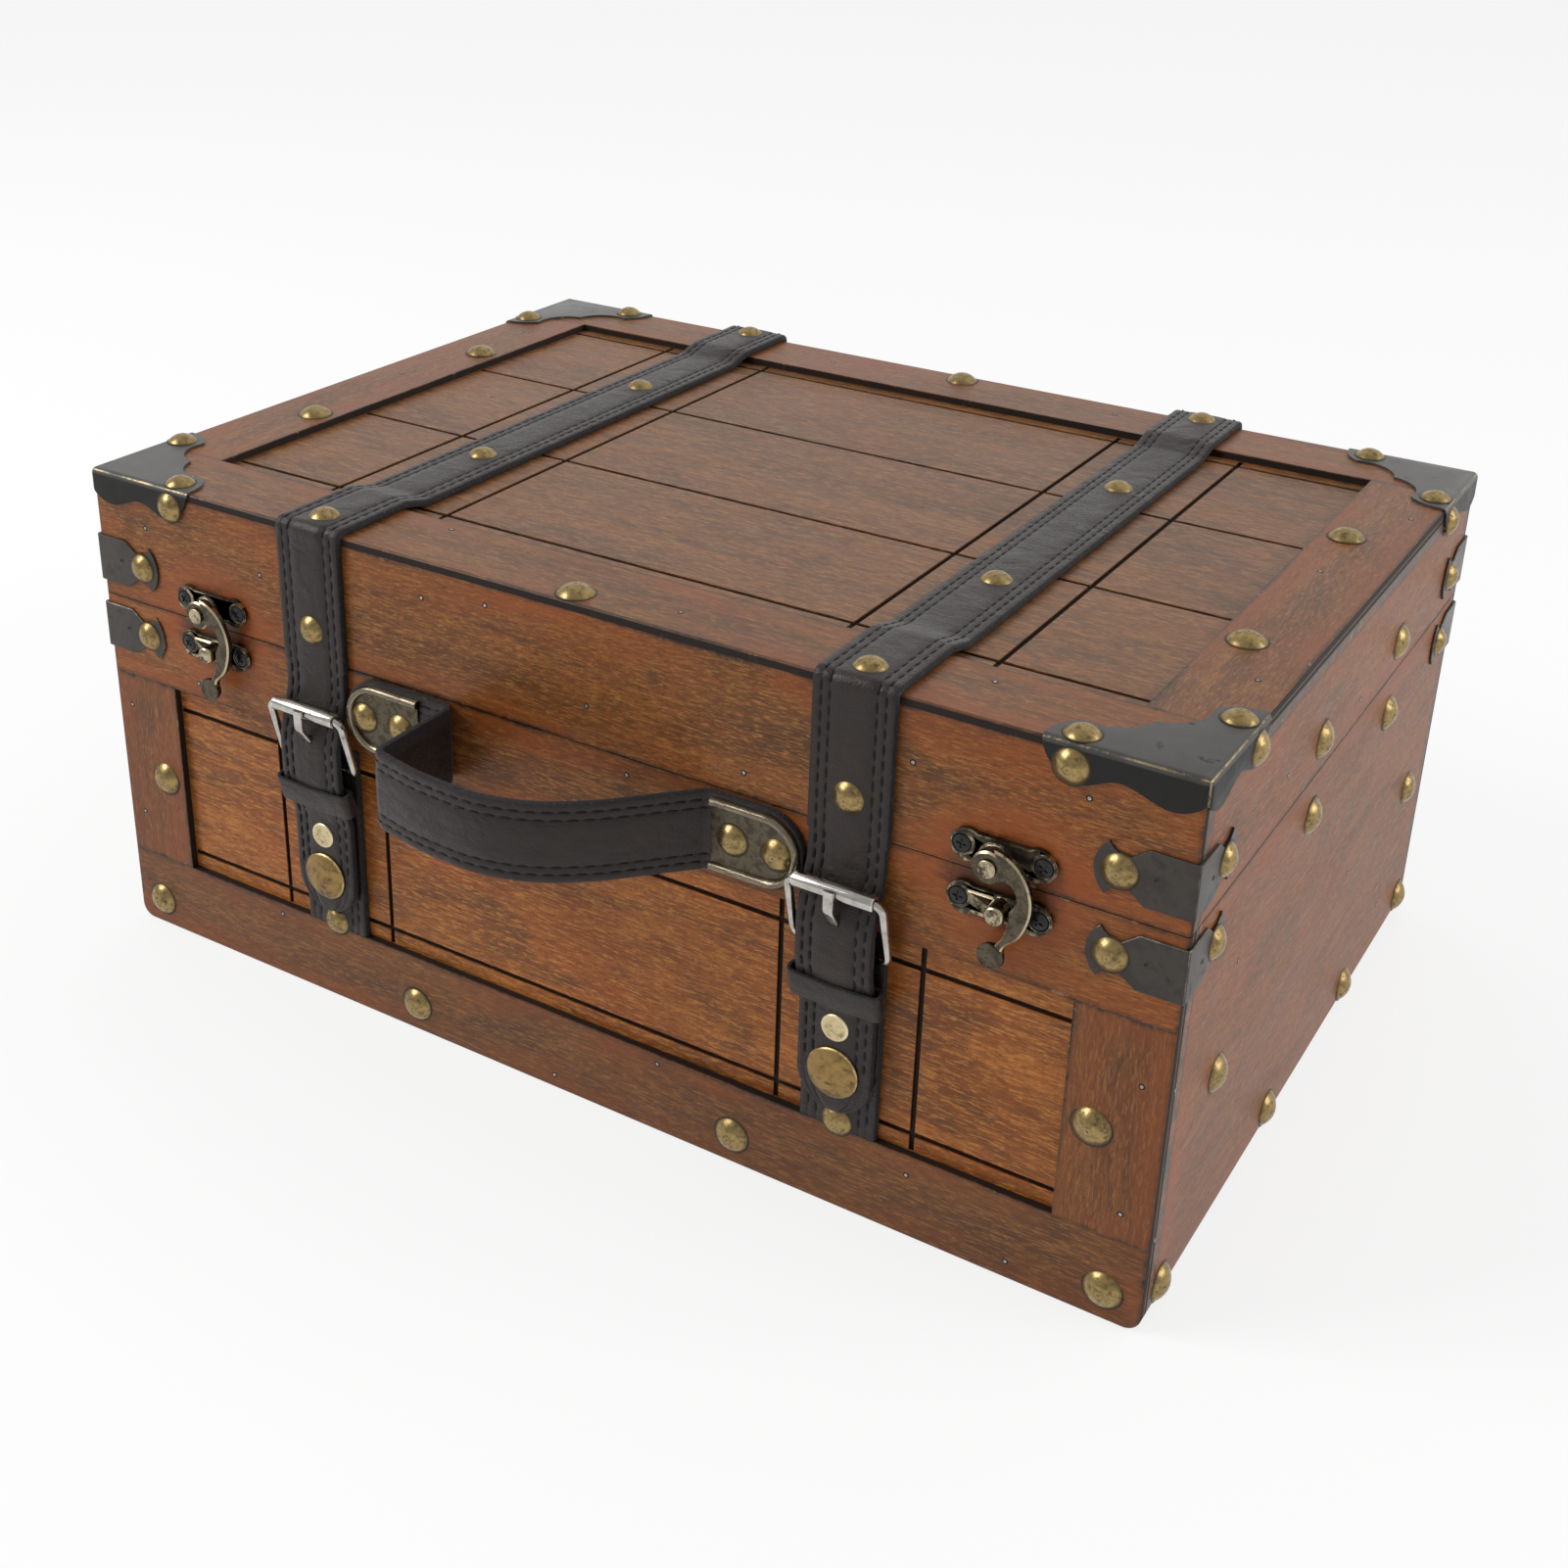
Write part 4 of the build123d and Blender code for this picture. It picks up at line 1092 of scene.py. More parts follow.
@dataclass(frozen=True)
class Plane:
    """The plane that a route lies in: an origin and two axes in the part's frame."""

    origin: Vector
    first: Vector
    second: Vector

    def at(self, spot: Vector) -> Vector:
        """The part's place of a spot in the plane."""
        return self.origin + self.first * spot.x + self.second * spot.y

    def along(self, way: Vector) -> Vector:
        """The part's direction of a direction in the plane."""
        return self.first * way.x + self.second * way.y

    def station(self, spot: Vector, way: Vector, distance: float) -> Station:
        """The station at a spot, its section's X along the plane's normal.

        Args:
            spot: The spot in the plane.
            way: The way that the route runs there.
            distance: How far along the route it lies.

        Returns:
            The station.
        """
        run = self.along(way).normalized()
        out = self.along(Vector((way.y, -way.x))).normalized()
        return Station(axes(self.first.cross(self.second), out, run, self.at(spot)), distance)


def strap_plane(side: Side) -> Plane:
    """The upright plane along the middle of a strap."""
    return Plane(Vector((side.value * STRAP_X, 0.0, 0.0)), ALONG_Y, ALONG_Z)


def rounded(left: float, radius: float) -> float:
    """How wide a round end is at a distance from its tip, as a share of the full width."""
    short = max(0.0, (radius - left) / radius)
    return math.sqrt(max(0.0, 1.0 - short**2))


class Route:
    """A line of straight runs joined by arcs, cut into stations."""

    def __init__(
        self,
        plane: Plane,
        points: Sequence[Pair],
        radii: Sequence[float],
        closed: bool = False,
        step: float = 3.0,
        arc_step: float = math.radians(15.0),
    ) -> None:
        """Cut the line.

        Args:
            plane: The plane that the line lies in.
            points: The corners, in the plane.
            radii: The arcs' radii, one for each corner that has one.
            closed: Whether the line comes back to its start.
            step: The longest distance between stations on a run.
            arc_step: The largest turn between stations on an arc, in radians.
        """
        self.plane = plane
        self.step = step
        self.arc_step = arc_step
        self.stations: list[Station] = []
        self.length = 0.0
        spots = [Vector(point) for point in points]
        count = len(spots)
        if closed:
            start = (spots[-1] + spots[0]) / 2
            corners = list(range(count))
        else:
            start = spots[0]
            corners = list(range(1, count - 1))
        here = start
        first_way = (spots[corners[0]] - start).normalized()
        self.stations.append(plane.station(here, first_way, 0.0))
        for corner, radius in zip(corners, radii):
            after = spots[(corner + 1) % count]
            if closed and corner == corners[-1]:
                after = start
            here = self._turn(here, spots[corner], after, radius)
        end = start if closed else spots[-1]
        self._run(here, end)

    def _add(self, spot: Vector, way: Vector, travelled: float) -> None:
        """Add a station a distance after the last one."""
        self.length += travelled
        self.stations.append(self.plane.station(spot, way, self.length))

    def _run(self, start: Vector, end: Vector) -> None:
        """Cut a straight run, without its first station.

        Args:
            start: Where it starts, in the plane.
            end: Where it ends.
        """
        span = (end - start).length
        if span < 1e-4:
            return
        pieces = max(1, math.ceil(span / self.step))
        way = (end - start).normalized()
        for i in range(1, pieces + 1):
            self._add(start.lerp(end, i / pieces), way, span / pieces)

    def _turn(self, start: Vector, corner: Vector, after: Vector, radius: float) -> Vector:
        """Cut the run up to a corner and the arc round it.

        Args:
            start: Where the last arc ended.
            corner: The corner.
            after: The next corner.
            radius: The arc's radius.

        Returns:
            Where the arc ends.
        """
        before_way = (corner - start).normalized()
        after_way = (after - corner).normalized()
        turn = math.atan2(before_way.cross(after_way), before_way.dot(after_way))
        cut = radius * abs(math.tan(turn / 2))
        arc_start = corner - before_way * cut
        arc_end = corner + after_way * cut
        self._run(start, arc_start)
        side = 1.0 if turn > 0 else -1.0
        centre = arc_start + Vector((-before_way.y, before_way.x)) * radius * side
        pieces = max(2, math.ceil(abs(turn) / self.arc_step))
        for i in range(1, pieces + 1):
            spin = Matrix.Rotation(turn * i / pieces, 2)
            self._add(centre + spin @ (arc_start - centre), spin @ before_way, radius * abs(turn) / pieces)
        return arc_end

    def at(self, distance: float) -> Matrix:
        """The place at a distance along the route.

        Args:
            distance: How far along, in millimetres.

        Returns:
            The place, between its two stations.
        """
        last = self.stations[0]
        for station in self.stations[1:]:
            if station.distance >= distance:
                span = station.distance - last.distance
                share = (distance - last.distance) / span if span else 0.0
                return last.place.lerp(station.place, share)
            last = station
        return last.place


def sweep(
    shape: Shape,
    profile: Sequence[Triple],
    stations: Sequence[Station],
    closed: bool = False,
) -> None:
    """Carry a closed section along stations.

    Args:
        shape: The shape that the band is added to.
        profile: Rows of across, out and a number for the "edge" layer.
        stations: The stations, in order.
        closed: Whether the last station is the first one again.
    """
    here = stations[0].section()
    corners = []
    for across, out, number in profile:
        corners.append(shape.mesh.verts.new(here @ Vector((across, out, 0.0))))
        corners[-1][shape.edge] = number
    ring = [shape.mesh.edges.new(pair) for pair in zip(corners, corners[1:] + corners[:1])]
    first_ring = ring
    rows = stations[1:-1] if closed else stations[1:]
    for station in rows:
        there = station.section()
        grown = bmesh.ops.extrude_edge_only(shape.mesh, edges=ring)["geom"]
        verts = [item for item in grown if isinstance(item, bmesh.types.BMVert)]
        fresh = set(verts)
        ring = [
            item for item in grown
            if isinstance(item, bmesh.types.BMEdge) and item.verts[0] in fresh and item.verts[1] in fresh
        ]
        bmesh.ops.transform(shape.mesh, matrix=there @ here.inverted(), verts=verts)
        here = there
    if closed:
        bmesh.ops.bridge_loops(shape.mesh, edges=first_ring + ring)
    else:
        bmesh.ops.edgeloop_fill(shape.mesh, edges=first_ring)
        bmesh.ops.edgeloop_fill(shape.mesh, edges=ring)


def round_profile(radius: float, sides: int = 14) -> list[Triple]:
    """A wire's round section.

    Args:
        radius: The wire's radius.
        sides: How many sides it gets.

    Returns:
        The section's rows.
    """
    rows = []
    for i in range(sides):
        angle = math.tau * i / sides
        rows.append((radius * math.cos(angle), radius * math.sin(angle), 0.35))
    return rows


def flat_profile(width: float, thickness: float, ease: float, rub: float) -> list[Triple]:
    """A flat strip's section with eased corners.

    Args:
        width: The strip's width.
        thickness: Its thickness.
        ease: How much its corners are eased.
        rub: The "edge" number of its narrow sides.

    Returns:
        The section's rows.
    """
    half = width / 2
    deep = thickness / 2
    rows = []
    for across, out in ((1, 1), (-1, 1), (-1, -1), (1, -1)):
        side = (across * half, out * (deep - ease), rub)
        flat = (across * (half - ease), out * deep, 0.2 * rub)
        corner = (across * (half - ease * 0.3), out * (deep - ease * 0.3), rub * 0.7)
        rows += [side, corner, flat] if across * out > 0 else [flat, corner, side]
    return rows


@dataclass(frozen=True)
class StitchedSection:
    """The section of a stitched leather band, crowned between its seams."""

    width: float
    thickness: float
    seam_insets: Pair = (2.9, 5.5)
    groove: float = 0.20
    crown: float = 0.26

    def rows(self) -> list[Triple]:
        """The section's rows, once round.

        Returns:
            Rows of across, out and the "edge" number.
        """
        half = self.width / 2
        deep = self.thickness / 2
        first, second = self.seam_insets
        face = [
            (half - 0.15, -deep + 0.3, 1.0),
            (half, -deep + 0.8, 1.0),
            (half, deep - 0.85, 1.0),
            (half - 0.2, deep - 0.35, 0.9),
            (half - 0.65, deep - 0.06, 0.25),
            (half - 1.4, deep, 0.0),
            (half - first + 0.55, deep - 0.02, 0.0),
            (half - first, deep - self.groove, -1.0),
            (half - first - 0.55, deep, 0.0),
            (half - second + 0.55, deep + 0.02, 0.0),
            (half - second, deep - self.groove, -1.0),
            (half - second - 0.6, deep + self.crown * 0.4, 0.0),
            (half * 0.3, deep + self.crown * 0.9, 0.0),
        ]
        other = [(-across, out, number) for across, out, number in reversed(face)]
        back = [(-half * 0.5, -deep, 0.3), (0.0, -deep, 0.3), (half * 0.5, -deep, 0.3)]
        return face + [(0.0, deep + self.crown, 0.0)] + other + back


class Stitching:
    """A line of thread stitches laid on a band."""

    PITCH = 4.6
    RADIUS = 0.54
    RISE = 1.14
    LEG_RISE = 1.06

    def __init__(self) -> None:
        """Make the stitch that every line repeats."""
        self.shape = Shape()
        stitch = Shape()
        bmesh.ops.create_uvsphere(stitch.mesh, u_segments=6, v_segments=5, radius=1.0)
        size = (self.RADIUS, self.RADIUS * 0.7, self.PITCH * 0.37)
        bmesh.ops.scale(stitch.mesh, vec=size, verts=stitch.mesh.verts)
        self.stitch = stitch.master()

    def rows(self, route: Route, start: float, end: float, width: float, seams: Pair) -> None:
        """Lay the double rows along both edges of a band.

        Args:
            route: The band's route.
            start: Where the rows start along it.
            end: Where they end.
            width: The band's width.
            seams: How far each row is from the band's edge.
        """
        for index, inset in enumerate(seams):
            for way in (-1, 1):
                shift = Matrix.Translation((way * (width / 2 - inset), self.RISE, 0.0))
                for i in range(int((end - start) / self.PITCH)):
                    distance = start + (i + 0.5 + 0.5 * index) * self.PITCH
                    if distance <= end:
                        self.shape.append(self.stitch, route.at(distance) @ shift)

    def leg(self, route: Route, start: Pair, end: Pair) -> None:
        """Lay stitches on a slant across a band.

        Args:
            route: The band's route.
            start: Across and along of the slant's start.
            end: Across and along of its end.
        """
        first, last = Vector(start), Vector(end)
        count = max(1, round((last - first).length / self.PITCH))
        lean = math.atan2(last.x - first.x, last.y - first.y)
        for i in range(count):
            spot = first.lerp(last, (i + 0.5) / count)
            place = route.at(spot.y) @ Matrix.Translation((spot.x, self.LEG_RISE, 0.0))
            self.shape.append(self.stitch, place @ Matrix.Rotation(lean, 4, "Y"))


# Boards


@dataclass
class Boards:
    """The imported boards, each with its own stained wood."""

    wall_burn: float = 1.7
    laid_burn: float = 9.0
    panel: WoodFinish = field(default_factory=lambda: WoodFinish(
        base=(0.420, 0.139, 0.027), deep=(0.175, 0.050, 0.010), light=(0.590, 0.245, 0.056),
        glow=(0.300, 0.072, 0.012), glowing=0.70, smokiness=0.66, ripple=0.12,
    ))
    shell: WoodFinish = field(default_factory=WoodFinish)
    cover: WoodFinish = field(default_factory=lambda: WoodFinish(
        base=(0.222, 0.088, 0.026), deep=(0.088, 0.034, 0.011), light=(0.350, 0.165, 0.058),
        glow=(0.190, 0.060, 0.015), glowing=0.60, smokiness=0.72, gloss=0.29,
    ))
    frame: WoodFinish = field(default_factory=lambda: WoodFinish(
        base=(0.218, 0.084, 0.022), deep=(0.082, 0.030, 0.009), light=(0.340, 0.150, 0.044),
        glow=(0.215, 0.056, 0.012), glowing=0.70, smokiness=0.70, gloss=0.28,
    ))
    flank: WoodFinish = field(default_factory=lambda: WoodFinish(
        base=(0.255, 0.090, 0.028), deep=(0.112, 0.040, 0.013), light=(0.355, 0.152, 0.060),
        glow=(0.255, 0.066, 0.016), glowing=0.6, smokiness=0.50, gloss=0.12,
    ))
    plain: WoodFinish = field(default_factory=lambda: WoodFinish(
        base=(0.270, 0.150, 0.085), deep=(0.120, 0.062, 0.034), light=(0.330, 0.200, 0.120),
        glow=(0.240, 0.110, 0.055), glowing=0.3, smokiness=0.35,
    ))

    def rows(self) -> list[tuple[WoodFinish, Board]]:
        """Every board with its wood.

        Returns:
            One row for each board.
        """
        wall, laid = self.wall_burn, self.laid_burn
        return [
            (self.panel, Board("base_front_wall", Axis.X, Axis.Y, -1, wall)),
            (self.shell, Board("base_back_wall", Axis.X, Axis.Y, 1, wall)),
            (self.flank, Board("base_left_wall", Axis.Y, Axis.X, -1, wall)),
            (self.flank, Board("base_right_wall", Axis.Y, Axis.X, 1, wall)),
            (self.plain, Board("base_floor", Axis.X, Axis.Z, 1, wall)),
            (self.shell, Board("base_front_top_rail", Axis.X, Axis.Y, -1, laid, stained=True)),
            (self.frame, Board("base_front_bottom_rail", Axis.X, Axis.Y, -1, laid)),
            (self.frame, Board("base_front_left_stile", Axis.Z, Axis.Y, -1, laid)),
            (self.frame, Board("base_front_right_stile", Axis.Z, Axis.Y, -1, laid)),
            (self.shell, Board("lid_front_wall", Axis.X, Axis.Y, -1, wall, stained=True)),
            (self.shell, Board("lid_back_wall", Axis.X, Axis.Y, 1, wall)),
            (self.flank, Board("lid_left_wall", Axis.Y, Axis.X, -1, wall)),
            (self.flank, Board("lid_right_wall", Axis.Y, Axis.X, 1, wall)),
            (self.cover, Board("lid_top_panel", Axis.X, Axis.Z, 1, wall)),
            (self.frame, Board("lid_front_rail", Axis.X, Axis.Z, 1, laid)),
            (self.frame, Board("lid_back_rail", Axis.X, Axis.Z, 1, laid)),
            (self.frame, Board("lid_left_stile", Axis.Y, Axis.Z, 1, laid)),
            (self.frame, Board("lid_right_stile", Axis.Y, Axis.Z, 1, laid)),
        ]

    def dress(self, nodes: dict[str, bpy.types.Object]) -> None:
        """Give each board its wood.

        Args:
            nodes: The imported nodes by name.
        """
        for index, (wood, board) in enumerate(self.rows()):
            materials = nodes[board.node].data.materials
            materials.clear()
            materials.append(wood.build(board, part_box(board.node), 1.0 + 2.7 * index))
            LOG.info("%s gets its wood", board.node)


# Domed nails


@dataclass
class Studs:
    """The domed nails of both halves and the rivets of the handle."""

    paints: Paints
    wood_radius: float = 5.75
    wood_height: float = 3.0
    trim_radius: float = 4.9
    trim_height: float = 2.6
    rail_inset: float = 6.5
    side_feet: tuple[float, ...] = (-0.9, -0.21, 0.405, 0.925)
    side_middles: Pair = (-0.69, 0.8)
    side_seams: Pair = (-0.21, 0.405)
    back_feet: tuple[float, ...] = (-0.9, -0.33, 0.33, 0.9)
    front_feet: tuple[float, ...] = (-0.94, -0.325, 0.315, 0.94)
    stile_shares: Pair = (-0.36, 0.355)
    stile_inset: float = 0.7 * STILE
    protector_reach: float = 0.81 * 43.0
    protector_inset: float = 5.0
    flap_level: float = CASE_HEIGHT - 0.56 * 10.4
    band_reach: float = 0.74 * 26.4
    rivet_places: Pair = (59.875, 74.225)
    foot_rise: float = 2.4

    def dome(self, radius: float, height: float) -> bpy.types.Mesh:
        """One nail head: a low cone with a blunt tip and a thin skirt, darkened partly as dirt and partly as
        painted shadow.

        Args:
            radius: The head's radius.
            height: Its height.

        Returns:
            A master mesh that stands on Z = 0.
        """
        # The last rows darken the dome's rim and a thin skirt round its foot to the patina tone: partly
        # dirt, partly a painted shadow ring where the head meets the wood.
        rows = (
            (0.0, 0.955, 0.4, 0.5), (0.06, 0.96, 0.4, 0.4), (0.11, 0.99, 0.6, 0.0), (0.17, 0.98, 0.5, 0.0),
            (0.22, 0.955, 0.3, 0.2), (0.36, 0.90, 0.4, 0.0), (0.52, 0.78, 0.3, 0.0), (0.68, 0.61, 0.2, 0.0),
            (0.81, 0.42, 0.1, 0.0), (0.91, 0.24, 0.0, 0.1), (0.97, 0.10, 0.0, 0.4), (1.0, 0.03, 0.0, 0.9),
            (1.06, 0.025, 0.0, 1.0), (1.09, 0.0, 0.0, 1.0),
        )
        shape = Shape()
        profile = [(share * radius, rise * height, rubbed, dirt_shade) for share, rise, rubbed, dirt_shade in rows]
        shape.lathe(profile, Matrix.Identity(4), steps=30)
        return shape.master()

    def lid_wood(self) -> list[Matrix]:
        """Where the large nails sit in the lid's bare wood.

        Returns:
            Their places.
        """
        places = [on_top(0.0, FRONT + self.rail_inset), on_top(0.0, BACK - self.rail_inset)]
        level = LID_BOTTOM + 0.24 * LID_HEIGHT
        for side in Side:
            stile = side.value * (HALF_WIDTH - self.stile_inset)
            places += [on_top(stile, share * HALF_DEPTH) for share in self.stile_shares]
            places += [on_side(side.value, share * HALF_DEPTH, level) for share in self.side_seams]
        return places

    def base_wood(self) -> list[Matrix]:
        """Where the large nails sit in the base's bare wood.

        Returns:
            Their places.
        """
        low, middle, high = 0.07 * BASE_TOP, 0.485 * BASE_TOP, 0.888 * BASE_TOP
        places = [on_front(share * HALF_WIDTH, 0.36 * BOTTOM_RAIL) for share in self.front_feet]
        for side in Side:
            way = side.value
            places.append(on_front(way * (HALF_WIDTH - self.stile_inset), middle))
            places += [on_side(way, share * HALF_DEPTH, low) for share in self.side_feet]
            places += [on_side(way, share * HALF_DEPTH, middle) for share in self.side_middles]
            places += [on_side(way, share * HALF_DEPTH, high) for share in self.side_seams]
            places.append(on_back(way * (HALF_WIDTH - self.stile_inset), middle))
        places += [on_back(share * HALF_WIDTH, low) for share in self.back_feet]
        return places

    def lid_trim(self) -> list[Matrix]:
        """Where the smaller nails hold the lid's straps, corner plates and bands.

        Returns:
            Their places.
        """
        places = []
        strap_level = LID_BOTTOM + 0.25 * LID_HEIGHT
        for side in Side:
            way = side.value
            strap = way * STRAP_X
            places.append(on_top(strap, FRONT + self.rail_inset, STRAP_THICK))
            places.append(on_top(strap, BACK - self.rail_inset, STRAP_THICK))
            rise = STRAP_THICK - OVERLAY
            places += [on_top(strap, share * HALF_DEPTH, rise) for share in self.stile_shares]
            places.append(on_front(strap, strap_level, STRAP_THICK))
            places.append(on_back(strap, strap_level, STRAP_THICK))
            for end in (-1, 1):
                along_x = way * (HALF_WIDTH - self.protector_reach)
                along_y = end * (HALF_DEPTH - self.protector_reach)
                places.append(on_top(along_x, end * (HALF_DEPTH - self.protector_inset), SHEET))
                places.append(on_top(way * (HALF_WIDTH - self.protector_inset), along_y, SHEET))
                places.append(on_side(way, along_y, self.flap_level, SHEET))
                places.append(on_side(way, end * (HALF_DEPTH - self.band_reach), LID_BAND, SHEET))
                on_face = on_front if end < 0 else on_back
                places.append(on_face(along_x, self.flap_level, SHEET))
                places.append(on_face(way * (HALF_WIDTH - self.band_reach), LID_BAND, SHEET))
        return places

    def base_trim(self) -> list[Matrix]:
        """Where the smaller nails hold the base's bands and strap feet.

        Returns:
            Their places.
        """
        places = []
        for side in Side:
            way = side.value
            places.append(on_front(way * STRAP_X, BOTTOM_RAIL + self.foot_rise, STRAP_THICK - OVERLAY))
            for end in (-1, 1):
                places.append(on_side(way, end * (HALF_DEPTH - self.band_reach), BASE_BAND, SHEET))
                on_face = on_front if end < 0 else on_back
                places.append(on_face(way * (HALF_WIDTH - self.band_reach), BASE_BAND, SHEET))
        return places

    def scatter(self, rows: Sequence[tuple[bpy.types.Mesh, Iterable[Matrix]]]) -> Shape:
        """Put copies of master heads at their places, each turned its own way.

        Args:
            rows: Pairs of a master mesh and its places.

        Returns:
            One shape with every head.
        """
        shape = Shape()
        chance = random.Random(7)
        for master, places in rows:
            for place in places:
                lean = Matrix.Rotation(math.radians(chance.uniform(-2.0, 2.0)), 4, "X")
                shape.append(master, place @ lean @ Matrix.Rotation(chance.uniform(0.0, math.tau), 4, "Z"))
        return shape

    def build(self) -> None:
        """Make the nails of the lid and the base, and the rivets."""
        large = self.dome(self.wood_radius, self.wood_height)
        small = self.dome(self.trim_radius, self.trim_height)
        lid = self.scatter(((large, self.lid_wood()), (small, self.lid_trim())))
        lid.fit("lid_nail_heads", self.paints.stud, "lid", "stud_brass", "lid_studs")
        base = self.scatter(((large, self.base_wood()), (small, self.base_trim())))
        base.fit("base_nail_heads", self.paints.stud, "base", "stud_brass", "base_studs")
        rise = HANDLE_THICK + SHEET
        places = [on_front(way * x, HANDLE_LEVEL, rise) for x in self.rivet_places for way in (-1, 1)]
        rivets = self.scatter(((small, places),))
        rivets.fit("handle_rivet_heads", self.paints.stud, "base", "stud_brass", "handle_rivets")


@dataclass
class Brads:
    """Small nails driven flush into the boards' faces, each in a dark dent."""

    paints: Paints
    radius: float = 0.85
    front: tuple[Pair, ...] = (
        (-168.0, 154.0), (-118.0, 149.5), (-52.0, 158.0), (8.0, 139.0), (61.0, 133.5), (112.0, 152.0),
        (160.5, 156.5), (-28.0, 161.5),
    )
    rail: tuple[Pair, ...] = (
        (-183.5, 86.0), (-183.0, 44.5), (-120.0, 24.5), (-6.0, 5.0), (33.0, 25.0), (118.0, 21.5),
        (150.0, 6.0),
        (182.5, 79.0), (181.0, 37.0), (-150.0, 103.0), (22.0, 121.0), (70.0, 101.0),
    )
    side: tuple[Pair, ...] = (
        (-127.5, 118.0), (-127.0, 78.5), (-127.5, 30.0), (-60.0, 140.0), (12.0, 133.5), (126.5, 70.0),
        (88.0, 22.0),
        (-84.0, 94.0), (34.0, 62.0),
    )
    top: tuple[Pair, ...] = (
        (-158.0, -118.0), (-60.0, -106.5), (32.0, -119.0), (124.0, -110.0), (181.0, -70.0), (172.0, 14.0),
        (-178.0, 8.0), (64.0, 120.0), (-52.0, 117.0), (183.0, 74.0),
    )

    def head(self) -> bpy.types.Mesh:
        """One brad's head in its dent.

        Returns:
            A master mesh whose rim is at Z = 0.
        """
        rows = (
            (0.0, 0.10, 0.4, 0.0), (0.45, 0.12, 0.8, 0.0), (0.62, 0.08, 0.3, 0.3), (0.70, 0.02, 0.0, 1.0),
            (1.0, 0.03, 0.0, 1.0), (1.15, 0.0, 0.0, 1.0), (1.0, -0.2, 0.0, 1.0),
        )
        shape = Shape()
        shape.lathe([(share * self.radius, *rest) for share, *rest in rows], Matrix.Identity(4), steps=10)
        return shape.master()

    def build(self) -> None:
        """Drive every brad."""
        head = self.head()
        lid = [on_front(x, z) for x, z in self.front] + [on_top(x, y) for x, y in self.top]
        lid += [on_back(-x, z) for x, z in self.front]
        base = [on_front(x, z) for x, z in self.rail]
        base += [on_back(x, z) for x, z in self.rail if z < BOTTOM_RAIL]
        for side in Side:
            for y, z in self.side:
                (lid if z > LID_BOTTOM else base).append(on_side(side.value, y, z))
        for places, body in ((lid, "lid"), (base, "base")):
            shape = Shape()
            for place in places:
                shape.append(head, place)
            shape.fit(f"{body}_brads", self.paints.brad, body, "nickel_steel")


# Sheet metal corners


@dataclass
class CornerMetal:
    """The lid's corner plates and the bands round the upright corners."""

    paints: Paints
    ease: float = 0.22
    bend: float = 1.9
    band_bend: float = 0.9
    hole_places: Pair = (180.0, 121.0)
    hole_shifts: Pair = (0.6, 0.5)
    hole_radius: float = 0.75

    def plate(self, node: str, name: str, paint: bpy.types.Material, body: str, bend: float) -> None:
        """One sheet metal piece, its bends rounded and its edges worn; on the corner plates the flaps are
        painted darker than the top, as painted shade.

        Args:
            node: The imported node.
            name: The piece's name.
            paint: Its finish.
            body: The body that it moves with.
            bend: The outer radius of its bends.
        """
        shape = Shape()
        shape.copy_node(node)
        block = Shape.block([2 * (half + SHEET) for half in (HALF_WIDTH, HALF_DEPTH, CASE_HEIGHT)])
        block.bevel(block.mesh.edges[:], bend, 5)
        shape.cut(block, "INTERSECT")
        shape.ease(self.ease, 1)
        shape.rub_slanted(0.93, 0.72)
        # Painted shade: on the corner plates everything below the top bend takes the dark patina tone, so
        # the flaps read darker and the top lighter, as the light falls on them.
        if "protector" in node:
            dirt_and_shade = shape.mesh.verts.layers.float["dirt_and_shade"]
            for vert in shape.mesh.verts:
                vert[dirt_and_shade] = 0.92 if vert.co.z < CASE_HEIGHT - bend / 2 else 0.0
        shape.fit(name, paint, body, "blackened_steel", node)

    def nail_holes(self, level: float, name: str, body: str) -> None:
        """The small empty nail hole near each bend of the bands.

        Args:
            level: The bands' height.
            name: The piece's name.
            body: The body that it moves with.
        """
        across, along = self.hole_places
        above, below = self.hole_shifts
        rows = [
            (0.0, 0.02, 0.0, 1.0), (0.7, 0.02, 0.0, 1.0), (0.8, 0.1, 0.2, 0.7), (0.95, 0.14, 0.9, 0.0),
            (1.15, 0.08, 0.5, 0.0), (1.3, 0.0, 0.0, 0.2),
        ]
        profile = [(radius * self.hole_radius, rise, rubbed, dirt_shade) for radius, rise, rubbed, dirt_shade in rows]
        shape = Shape()
        for side in Side:
            for end in (-1, 1):
                on_face = on_front if end < 0 else on_back
                shape.lathe(profile, on_face(side.value * across, level + above, SHEET), steps=14)
                shape.lathe(profile, on_side(side.value, end * along, level - below, SHEET), steps=14)
        shape.fit(name, self.paints.band, body, "blackened_steel")

    def build(self) -> None:
        """Make every plate and band."""
        for end in ("front", "back"):
            for side in Side:
                corner = f"lid_{end}_{side.word}"
                paint = self.paints.blackened
                self.plate(f"{corner}_protector", f"{corner}_corner_plate", paint, "lid", self.bend)
        self.plate("lid_corner_bands", "lid_bands", self.paints.band, "lid", self.band_bend)
        self.plate("base_corner_bands", "base_bands", self.paints.band, "base", self.band_bend)
        self.nail_holes(LID_BAND, "lid_band_nail_holes", "lid")
        self.nail_holes(BASE_BAND, "base_band_nail_holes", "base")


# Leather straps


